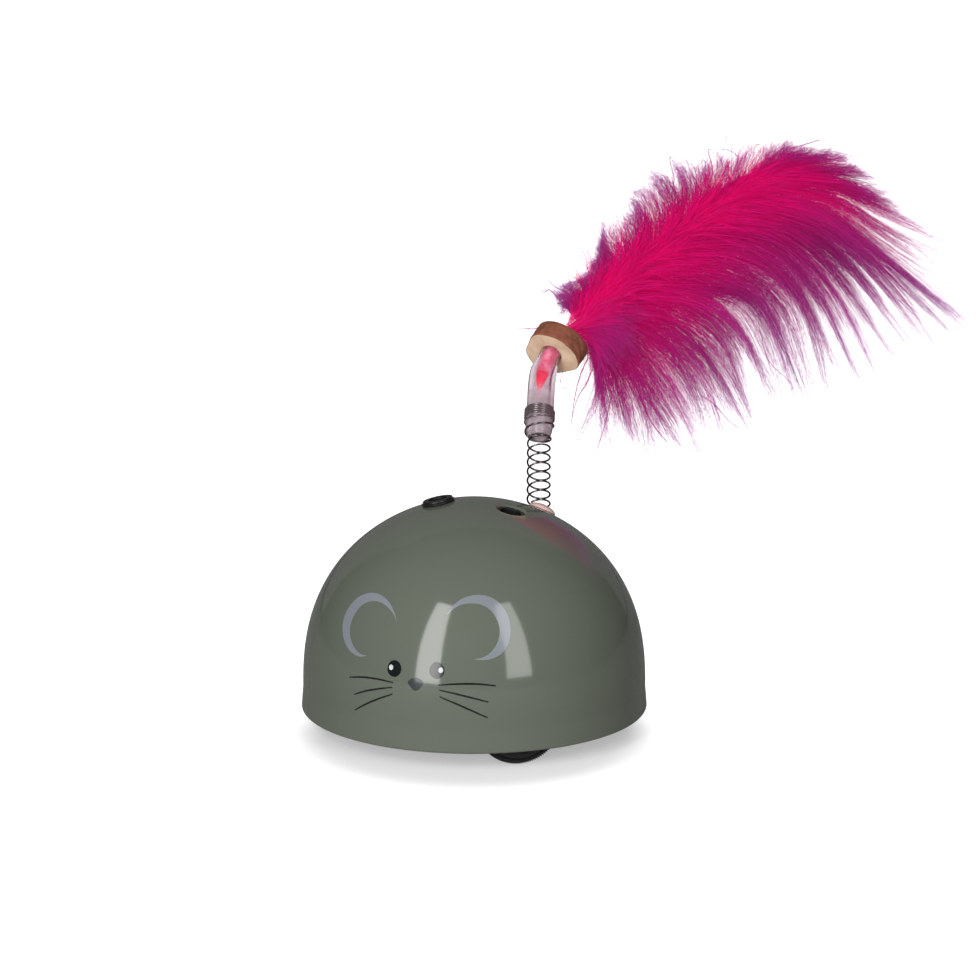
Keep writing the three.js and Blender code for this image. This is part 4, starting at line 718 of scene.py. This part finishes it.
# Plume: a dyed marabou feather. Some thousand soft barbs leave its shaft, sweep forward, gather into
# pointed tufts and fade from hot pink at the shaft to purple at their tips; finer hairs fringe them.
reach = 115.0
plume_axes = view_axes(19.4, 12.6) * [[1], [1], [-1]]
plume_root = line_points[-1]
spine_table = np.array([
    [0, 0, 0], [0.05, 0.043, 0.014], [0.104, 0.107, 0.04], [0.172, 0.176, 0.057], [0.225, 0.209, 0.066],
    [0.316, 0.283, 0.073], [0.422, 0.354, 0.08], [0.554, 0.403, 0.089], [0.695, 0.379, 0.104],
    [0.81, 0.305, 0.122], [0.902, 0.205, 0.144], [0.981, 0.079, 0.164]])


def in_plume(pixels):
    """Where the plume's bent sheet shows at pixels of the photo: along and up, as shares of its reach.
    Each pixel's ray is cut with the sheet, whose depth at a place along is that of the shaft there; the
    root counts to a hundredth of a millimetre."""
    aside = np.asarray(pixels, float) - photo_size / 2
    focal = lens / sensor_width * photo_size
    rays = aside[..., :1] * camera_axes[0] - aside[..., 1:] * camera_axes[1] - focal * camera_axes[2]
    start = plume_axes @ (camera_place * 1000 - plume_root.round(2))
    rays = rays @ plume_axes.T
    place = 0 * rays[..., 0]
    for _ in range(12):
        depth = np.interp(place, spine_table[:, 0], spine_table[:, 2]) * reach
        length = (depth - start[2]) / rays[..., 2]
        place = (start[0] + length * rays[..., 0]) / reach
    return np.stack([place, (start[1] + length * rays[..., 1]) / reach], -1).round(3)


def with_depth(places):
    """Shares along and up, with the shaft's depth at the same share along as the third."""
    return np.concatenate([places, np.interp(places[..., :1], spine_table[:, 0], spine_table[:, 2])], -1)


# Centre lines of its tufts, from the lowest one round the tip to the uppermost: each is four places from
# the shaft to the tuft's tip, picked by eye as pixels x, y in a crop of the photo. After comparing renders
# the tips of tufts 11 and 13 were set further out, the lower tufts were shifted down and the foremost ones
# forward, at their third place and their tip, by shares of the reach.
crop_corner, crop_zoom = (520, 120), 3.446
tuft_pixels = np.array([
    [228, 735, 262, 830, 258, 900, 172, 1090], [230, 730, 262, 850, 290, 960, 320, 1110],
    [235, 725, 300, 850, 350, 980, 385, 1120], [240, 715, 340, 840, 410, 980, 445, 1150],
    [245, 705, 380, 830, 480, 980, 560, 1090], [250, 700, 400, 800, 520, 950, 635, 1155],
    [258, 690, 440, 760, 560, 900, 640, 1050], [270, 670, 470, 740, 610, 870, 705, 1070],
    [285, 650, 500, 710, 660, 850, 765, 1060], [300, 630, 540, 690, 690, 830, 820, 1050],
    [320, 600, 570, 650, 720, 780, 800, 990], [340, 580, 600, 610, 760, 720, 881, 972],
    [365, 555, 640, 580, 800, 650, 940, 935], [400, 520, 680, 540, 853, 643, 962, 904],
    [430, 490, 720, 500, 915, 640, 1015, 960], [460, 465, 750, 470, 950, 620, 1060, 925],
    [500, 430, 780, 440, 990, 600, 1130, 900], [530, 405, 820, 420, 1020, 570, 1170, 870],
    [560, 380, 860, 400, 1060, 560, 1235, 860], [600, 345, 900, 380, 1090, 530, 1285, 800],
    [640, 310, 940, 360, 1120, 500, 1310, 750], [680, 280, 980, 340, 1160, 480, 1395, 785],
    [700, 265, 1000, 320, 1200, 470, 1465, 740], [730, 245, 1030, 300, 1240, 450, 1520, 690],
    [750, 225, 1050, 280, 1250, 420, 1500, 610], [770, 215, 1060, 265, 1230, 380, 1400, 520],
    [790, 205, 1070, 250, 1250, 350, 1455, 465], [800, 200, 1080, 235, 1260, 330, 1455, 437],
    [810, 195, 1070, 215, 1220, 270, 1340, 325], [820, 190, 1050, 200, 1170, 230, 1275, 245],
    [830, 185, 1020, 180, 1130, 180, 1210, 190], [835, 180, 980, 155, 1080, 135, 1150, 130],
    [840, 175, 930, 150, 1000, 125, 1075, 100], [780, 215, 850, 160, 880, 110, 915, 70],
    [740, 240, 790, 190, 800, 120, 820, 80], [690, 275, 730, 220, 740, 160, 765, 100],
    [640, 310, 670, 240, 668, 160, 665, 110], [600, 345, 620, 250, 615, 180, 600, 130],
    [550, 390, 570, 280, 550, 200, 520, 130], [500, 430, 520, 320, 480, 230, 440, 180],
    [450, 470, 450, 370, 420, 290, 390, 245], [400, 510, 400, 420, 370, 360, 355, 320],
    [350, 550, 340, 470, 300, 400, 285, 350], [310, 590, 300, 520, 280, 470, 268, 440],
    [270, 640, 265, 580, 245, 540, 240, 520], [240, 670, 200, 620, 150, 600, 110, 590],
    [225, 690, 180, 660, 160, 640, 140, 670]])
guides = in_plume(tuft_pixels.reshape(-1, 4, 2) / crop_zoom + crop_corner)
tip_down, bend_down, next_down, tip_forward, bend_forward = 0.03505, 0.014, 0.012, 0.028, 0.01
lowest, next_lowest, foremost = slice(0, 9), slice(9, 21), slice(20, 28)
fading = 1 - np.arange(9) / 16
guides[lowest, 3, 1] -= tip_down * fading
guides[lowest, 2, 1] -= bend_down * fading
guides[next_lowest, 3, 1] -= next_down
guides[foremost, 3, 0] += tip_forward
guides[foremost, 2, 0] += bend_forward
guides = with_depth(guides.round(3)) * reach


def unit(vectors):
    """Vectors of length one."""
    return vectors / (np.linalg.norm(vectors, axis=-1, keepdims=True) + 1e-9)


random = np.random.default_rng(11)
shaft_steps = 400
shaft_line = flow(spine_table, shaft_steps) * reach


def on_shaft(table, share):
    """A table along the shaft, read at shares of its length."""
    return read_rows(table, np.arange(shaft_steps), share * (shaft_steps - 1))


def along_guides(place, t):
    """Points of the guides read at fractional guide numbers: Catmull-Rom in t through the four places."""
    low = np.clip(np.floor(place).astype(int), 0, len(guides) - 2)
    part = (place - low)[..., None]
    out = 0
    for number, weight in ((low, 1 - part), (low + 1, part)):
        g = guides[number]
        before, after = 2 * g[..., 0, :] - g[..., 1, :], 2 * g[..., 3, :] - g[..., 2, :]
        p = np.stack([before, g[..., 0, :], g[..., 1, :], g[..., 2, :], g[..., 3, :], after], -2)
        i = np.minimum((t * 3).astype(int), 2)
        u = (t * 3 - i)[..., None]
        a, b, c, d = (np.take_along_axis(p, (i + k)[..., None, None], -2)[..., 0, :] for k in range(4))
        out = out + weight * catmull(a, b, c, d, u)
    return out


def barbs(count, first, last, low, high, spread, gather):
    """Centre lines of barbs between two guides: each follows the guides at its own number q, runs a share
    of their length, and as t ** 2.4 gathers to the nearest tuft; its depth swells as sin(0.62 pi t)."""
    between = (last - first) * 7
    tufts = np.concatenate([np.arange(first, last + 1), random.uniform(first, last, between)])
    tuft_length = np.concatenate([random.uniform(0.95, 1.0, last + 1 - first),
                                  random.uniform(0.72, 1.0, between)])
    tuft_depth = random.normal(0, 0.7, len(tufts)) * spread
    spans = guides[first:last + 1]
    room = np.linalg.norm(np.diff(spans, axis=0), axis=2)[:, 1:].sum(1) + 2
    room = room * np.linspace(0.62, 1.6, len(room))
    taken = np.concatenate([[0], np.cumsum(room)])
    q = first + np.interp(random.uniform(0, taken[-1], count), taken, np.arange(len(taken)))
    near = np.abs(q[:, None] - tufts[None] + random.normal(0, 0.16, (count, 1))).argmin(1)
    length = 1.06 * (random.uniform(0, 1, count) ** 0.3 * (high - low) + low) * tuft_length[near]
    t = np.linspace(0, 1, 18)[None] * length[:, None]
    pull = gather * random.uniform(0.3, 1.0, (count, 1)) * t ** 2.4
    pull *= np.interp(q, [0, 10, 16, 33, 46], [0.85, 0.85, 0.8, 0.85, 1.0])[:, None]
    start = random.normal(0, 0.8, (count, 1))
    wander = random.normal(0, 0.45, len(tufts))[near][:, None]
    place = q[:, None] + (tufts[near] - q)[:, None] * pull + start * (1 - t) ** 2
    place = place + wander * np.sin(np.pi * t) * t
    lines = along_guides(place.clip(0, len(guides) - 1.001), t)
    first_step = lines[:, 1:2] - lines[:, :1]
    across_shaft = first_step / np.linalg.norm(first_step, axis=2)[..., None]
    lines -= across_shaft * random.uniform(0.8, 3.4, (count, 1, 1)) * (1 - t[..., None]) ** 3
    depth = (random.normal(0, spread, count)[:, None] * (1 - pull) + tuft_depth[near][:, None] * pull)
    lines[..., 2] += depth * np.sin(np.minimum(t, 1) * np.pi * 0.62)
    phase = random.uniform(0, 6.3, (2, count, 1))
    sway = random.gamma(2.0, 0.7, (count, 1))
    for axis in (0, 1):
        lines[..., axis] += sway * np.sin(t * (6 + 3 * axis) + phase[axis]) * t * (1.15 - 0.8 * t)
    # Shade: part random from barb to barb, part a wave over tuft number, q and t that darkens the clefts
    # between tufts, a painted shade.
    shade = 0.45 * random.beta(2.5, 2.5, (count, 1)) + 0.55 * (0.5 + 0.5 * np.sin(
        1.9 * near[:, None] + 1.5 * q[:, None] + 5 * t))
    return lines, t, shade


def down(count, low, high, shortest, longest, off, tilt, steps=14):
    """Soft barbs over the shaft, which hide its line: each starts beside it, off by a normal distance, and
    leans away by an angle a (1 + t); its depth rises toward the viewer as sin(0.8 pi t)."""
    share = random.uniform(low, high, count)
    start = on_shaft(shaft_line, share)
    ahead = on_shaft(np.gradient(shaft_line[:, :2], axis=0), share)
    heading = np.arctan2(ahead[:, 1], ahead[:, 0])[:, None]
    side = random.normal(0, off, (count, 1))
    t = np.linspace(0, 1, steps)[None] + np.zeros((count, 1))
    lean = np.radians(random.normal(tilt[0], tilt[1], (count, 1)) + 7 * side)
    angle = heading + lean * (1 + t)
    step = random.uniform(shortest, longest, (count, 1)) / (steps - 1)
    x = start[:, :1] - side * np.sin(heading) + np.cumsum(np.cos(angle) * step, 1)
    y = start[:, 1:2] + side * np.cos(heading) + np.cumsum(np.sin(angle) * step, 1)
    z = start[:, 2:] - random.uniform(1.2, 3.2, (count, 1)) * (0.4 + 0.6 * np.sin(t * np.pi * 0.8))
    wave = random.gamma(2.0, 0.25, (count, 1)) * np.sin(7 * t + random.uniform(0, 6.3, (count, 1))) * t
    return np.stack([x - wave * np.sin(heading), y + wave * np.cos(heading), z], -1)


def ribbons(lines, width, spin):
    """Flat strips along many lines of equal steps: width tapers to a fifth, and spin turns each strip."""
    count, steps, _ = lines.shape
    ahead = unit(np.gradient(lines, axis=1))
    side = np.cross(ahead, [0, 0, 1.0])
    side = unit(side + 1e-6)
    up = np.cross(ahead, side)
    turn = spin[:, None, None]
    side = side * np.cos(turn) + up * np.sin(turn)
    taper = 1 - 0.8 * np.linspace(0, 1, steps)[None, :, None] ** 2
    half = width[:, None, None] * taper / 2
    points = np.stack([lines - side * half, lines + side * half], 2).reshape(-1, 3)
    start = (np.arange(count)[:, None] * steps + np.arange(steps - 1)[None]) * 2
    faces = np.stack([start, start + 1, start + 3, start + 2], -1).reshape(-1, 4)
    return points, faces


def hairs(lines, per_line, length):
    """Fine hairs off many lines: each leaves at a random place, 20 to 55 degrees off, and curls forward."""
    count, line_steps_count, _ = lines.shape
    owner = np.repeat(np.arange(count), per_line)
    t = random.uniform(0.12, 0.99, len(owner)) * (line_steps_count - 1)
    i = np.minimum(t.astype(int), line_steps_count - 2)
    u = (t - i)[:, None]
    start = lines[owner, i] * (1 - u) + lines[owner, i + 1] * u
    ahead = unit(lines[owner, i + 1] - lines[owner, i])
    away = unit(np.cross(ahead, random.normal(0, 1, ahead.shape)))
    lean = np.radians(random.uniform(20, 55, len(owner)))[:, None]
    size = (random.gamma(3.0, 1 / 3.0, len(owner)) * length
            * (1 - 0.7 * (t / (line_steps_count - 1)) ** 4))[:, None, None]
    s = np.linspace(0, 1, 3)[None, :, None]
    first = ahead * np.cos(lean) + away * np.sin(lean)
    line = start[:, None] + size * (first[:, None] * s + 0.35 * ahead[:, None] * s ** 2)
    return line, t / (line_steps_count - 1)


# Dyed down: the tone attribute runs from the shaft to the tip, and the shade attribute darkens barbs at
# random from barb to barb and, among the tufted barbs, in waves that darken the clefts between tufts, a
# painted shade.
down_stops = [(0.0, "ff4cba"), (0.12, "ff169a"), (0.32, "f01894"), (0.62, "d634a2"), (1.0, "b862b8")]
plume_finish = finish("dyed_marabou_down", down_stops[0][1], 0.75, {"Specular IOR Level": 0.15})
down_tree = plume_finish.node_tree
down_shader = down_tree.nodes["Principled BSDF"]
down_tone, down_shade = (add_node(down_tree, "ShaderNodeAttribute", attribute_name=name).outputs["Fac"]
                         for name in ("tone", "shade"))
down_ramp = add_node(down_tree, "ShaderNodeValToRGB", {"Fac": down_tone})
while len(down_ramp.color_ramp.elements) < len(down_stops):
    down_ramp.color_ramp.elements.new(0.5)
for element, (place, code) in zip(down_ramp.color_ramp.elements, down_stops):
    element.position, element.color = place, linear(code)
down_scale = mapped(down_tree, down_shade, 0.66, 1.15)
down_colour = add_node(down_tree, "ShaderNodeVectorMath", {
    0: down_ramp.outputs["Color"], "Scale": down_scale}, operation="SCALE").outputs[0]
down_tree.links.new(down_colour, down_shader.inputs["Base Color"])
down_glow = add_node(down_tree, "ShaderNodeBsdfTranslucent", {"Color": down_colour})
down_both = add_node(down_tree, "ShaderNodeMixShader", {
    0: 0.4, 1: down_shader.outputs[0], 2: down_glow.outputs[0]})
down_tree.links.new(down_both.outputs[0], down_tree.nodes["Material Output"].inputs["Surface"])


def plume_piece(name, lines, width, tone, shade):
    """Ribbons on the plume's lines, with the two attributes that its material reads."""
    points, faces = ribbons(lines, width, random.uniform(0, np.pi, len(lines)))
    world_points = plume_root + points @ plume_axes
    piece = make_piece(name, world_points, faces, [plume_finish], "tail")
    for label, values in (("tone", tone), ("shade", shade)):
        values = np.broadcast_to(values, lines.shape[:2])
        layer = piece.data.attributes.new(label, "FLOAT", "POINT")
        layer.data.foreach_set("value", np.repeat(values.ravel(), 2).astype(np.float32))
    return piece


def plume_group(name, lines, width, tone, shade, per_barb, hair):
    """Barbs and their fringe of finer hairs, in pieces of 45000 hairs."""
    count, steps, _ = lines.shape
    plume_piece(name, lines, np.full(count, width), tone, shade)
    fringe, origin = hairs(lines, per_barb, hair)
    owner = np.repeat(np.arange(count), per_barb)
    at = (origin * (steps - 1)).astype(int)[:, None]
    tone, shade = (np.broadcast_to(values, (count, steps)) for values in (tone, shade))
    fringe_tone = np.take_along_axis(tone[owner], at, 1) + 0.2 * np.linspace(0, 1, fringe.shape[1])[None]
    fringe_shade = np.take_along_axis(shade[owner], at, 1)
    for number, part in enumerate(range(0, len(fringe), 45000), 1):
        some = slice(part, part + 45000)
        plume_piece(f"{name}_fringe_{number}", fringe[some], np.full(len(fringe[some]), 0.05),
                                  fringe_tone[some].clip(0, 1), fringe_shade[some])


for name, count, (first, last), (low, high), spread, gather, width, tones, per_barb, hair in (
        ("plume_lower_barbs", 5600, (0, 23), (0.5, 1.0), 2.4, 0.75, 0.12, (0.12, 1.0), 26, 1.6),
        ("plume_end_barbs", 1500, (23, 33), (0.45, 1.0), 1.8, 0.8, 0.11, (0.12, 0.9), 26, 1.4),
        ("plume_upper_barbs", 2100, (33, 46), (0.3, 1.0), 2.2, 0.85, 0.11, (0.2, 1.0), 28, 1.3),
        ("plume_core_barbs", 1700, (0, 33), (0.1, 0.5), 2.6, 0.2, 0.16, (0.0, 0.55), 20, 1.7),
        ("plume_ridge_barbs", 600, (33, 46), (0.1, 0.5), 2.2, 0.2, 0.16, (0.05, 0.6), 20, 1.5)):
    lines, travelled, shade = barbs(count, first, last, low, high, spread, gather)
    plume_group(name, lines, width, tones[0] + (tones[1] - tones[0]) * travelled, shade, per_barb, hair)
for name, count, (low, high), (shortest, longest), off, tilt, tones, hair in (
        ("plume_root_down", 300, (0.0, 0.14), (7, 16), 1.0, (0, 12), (0.0, 0.16), 1.5),
        ("plume_root_skirt", 300, (0.0, 0.09), (8, 19), 0.9, (-42, 16), (0.2, 0.72), 1.7),
        ("plume_shaft_down", 620, (0.08, 0.58), (8, 20), 1.3, (0, 13), (0.04, 0.3), 1.6)):
    lines = down(count, low, high, shortest, longest, off, tilt)
    tone = tones[0] + (tones[1] - tones[0]) * np.linspace(0, 1, lines.shape[1])[None]
    shade = 0.25 + 0.75 * random.beta(2.5, 2, (count, 1))
    plume_group(name, lines, 0.16, tone + 0 * lines[..., 0], shade, 44, hair)
# Stray barbs that stand away from the tufts: each leaves the shaft's side and goes through places that
# are given as pixels x, y of the photo.
strays = (
    ((574.1, 333), (565.3, 356.9), (562, 375), (560, 384), (563.5, 389), (566.5, 385), (564.5, 376)),
    ((570.1, 328.9), (545, 326), (534, 329), (526, 328.3), (517, 329.3)),
    ((588, 358), (580, 376), (574, 402), (569.5, 437)),
    ((594, 366), (586, 384), (577, 400), (571, 424)),
    ((612, 395), (606, 420), (600, 440), (596, 452)),
    ((760, 330), (768, 360), (790, 382), (792, 391)),
    ((640, 395), (650, 420), (662, 436), (668, 444)),
    ((700, 395), (715, 405), (728, 420), (742, 430)),
    ((586, 313.1), (570, 296), (556, 287), (543, 275)),
    ((578, 321), (552, 292), (546, 291), (541, 291)),
    ((712, 180), (712, 165), (708, 151), (712, 149)),
    ((733, 172), (738, 158), (728, 150), (716, 150)),
    ((745, 180), (753, 160), (756, 146), (760, 144)),
    ((672, 195), (674, 178), (670, 162), (671, 156)),
    ((820, 140), (800, 146), (785, 150), (770, 160)),
    ((855, 157), (835, 152), (815, 152), (800, 158)))
stray_lines = np.stack([flow(with_depth(in_plume(stray)), 24) * reach for stray in strays])
plume_group("plume_stray_barbs", stray_lines, 0.34, np.float64(0.8), np.float64(0.5), 90, 0.6)
# The shaft itself, thick where it leaves the slice and lost among the barbs near the tip.
shaft_end, thin_radius, root_swell = 0.4, 0.15, 1.1
shaft_share = np.linspace(0.0, shaft_end, 60)
shaft_radius = thin_radius + root_swell * (1 - shaft_share / shaft_end) ** 1.2
shaft_path = plume_root + on_shaft(shaft_line, shaft_share) @ plume_axes
shaft_points, shaft_faces = tube_along(shaft_path, shaft_radius, 16)
shaft_finish = finish("hot_pink_shaft", "f0208c", 0.5, speckle=(300.0, "ff58b4", 0.8))
make_piece("plume_shaft", shaft_points, shaft_faces, [shaft_finish], "tail")
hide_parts("feather_plume")

# Tyres: matt black rubber with fine cross ridges, pushed on the hubs.
tyre_finish = finish("matt_black_rubber", "171714", 0.62, bump=(1500.0, 0.00003))
axle_height, tyre_radius, tyre_inside, tyre_half, tyre_off = 7, 12.3, 11.1, 2.2, 38.7
ridge_count, ridge_depth = 118, 0.45
axle_axis = np.array([math.cos(base_turn), math.sin(base_turn), 0.0])
across_axis = np.array([-math.sin(base_turn), math.cos(base_turn), 0.0])
up_axis = np.array([0, 0, 1.0])
ridge_turn = np.linspace(0, 2 * np.pi, ridge_count * 8, endpoint=False)
ridge = ridge_depth * (0.5 - 0.5 * np.cos(ridge_count * ridge_turn)) ** 0.8
for side, word in ((1, "right"), (-1, "left")):
    rows = []
    for width_share, drop in ((-1, 0.1), (-0.97, 0.0), (-0.8, 0.0), (0.8, 0.0), (0.97, 0.0), (1, 0.1)):
        rows.append((tyre_radius - drop - ridge, side * (tyre_off + width_share * tyre_half)))
    rows += [(0 * ridge_turn + tyre_inside, side * (tyre_off + tyre_half * end)) for end in (1, -1)]
    points = np.vstack([(r * np.cos(ridge_turn))[:, None] * across_axis + a * axle_axis
                        + (axle_height + r * np.sin(ridge_turn))[:, None] * up_axis for r, a in rows])
    faces = grid(len(rows), len(ridge_turn), True, True)
    tyre = make_piece(f"{word}_tyre_ridged", points, faces[:, ::side], [tyre_finish], f"{word}_wheel",
                      smooth=False)
    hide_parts(f"{word}_tyre")

# Pieces that keep their solid's shape: each gets its own finish and a fine bevel on its sharp edges.
sides = ("left", "right")
kept = (
    ("satin_black_plastic", "1f1f1e", 0.42, None, (1400.0, 0.00002),
     ["base_tray", "battery_door", "left_wheel_hub", "right_wheel_hub", "controller_chip"]),
    ("natural_nylon", "e6e1d3", 0.45,
     {"Subsurface Weight": 0.2, "Subsurface Radius": (0.6, 0.5, 0.4), "Subsurface Scale": 0.001},
     (1200.0, 0.00002),
     ["power_switch"] + [f"{side}_{name}" for side in sides for name in (
         "gear_bracket", "outer_idler", "inner_idler", "pinion")]),
    ("zinc_plated_steel", "b4b6b8", 0.33, {"Metallic": 1.0}, (800.0, 0.00001),
     ["switch_body", "board_screw_front", "board_screw_back"] + [f"case_screw_{k}" for k in range(1, 5)]
     + [f"{side}_{name}" for side in sides for name in (
         "motor", "axle", "outer_idler_pin", "inner_idler_pin", "motor_shaft")]),
    ("nickel_contact_strip", "cdc8bd", 0.25, {"Metallic": 1.0}, (800.0, 0.00001),
     ["battery_contact_left", "battery_contact_right"]),
    ("green_solder_mask", "1d5a35", 0.35, {"Coat Weight": 0.4}, (900.0, 0.00002), ["circuit_board"]),
    ("dark_red_infrared_window", "5a0f18", 0.12, {"Coat Weight": 0.5}, (600.0, 0.00001),
     ["infrared_emitter", "infrared_receiver"]),
    ("printed_battery_wrap", "454f5a", 0.35, {"Metallic": 0.4}, (700.0, 0.00001),
     [f"battery_cell_{k}" for k in (1, 2, 3)]))
for *look, names in kept:
    made = finish(*look)
    for name in names:
        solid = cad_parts[name]
        solid.data.materials.clear()
        solid.data.materials.append(made)
        bevel = solid.modifiers.new("edge", "BEVEL")
        bevel.width, bevel.segments, bevel.limit_method = 0.00012, 2, "ANGLE"
        bevel.angle_limit = math.radians(40)
        bevel.harden_normals = False
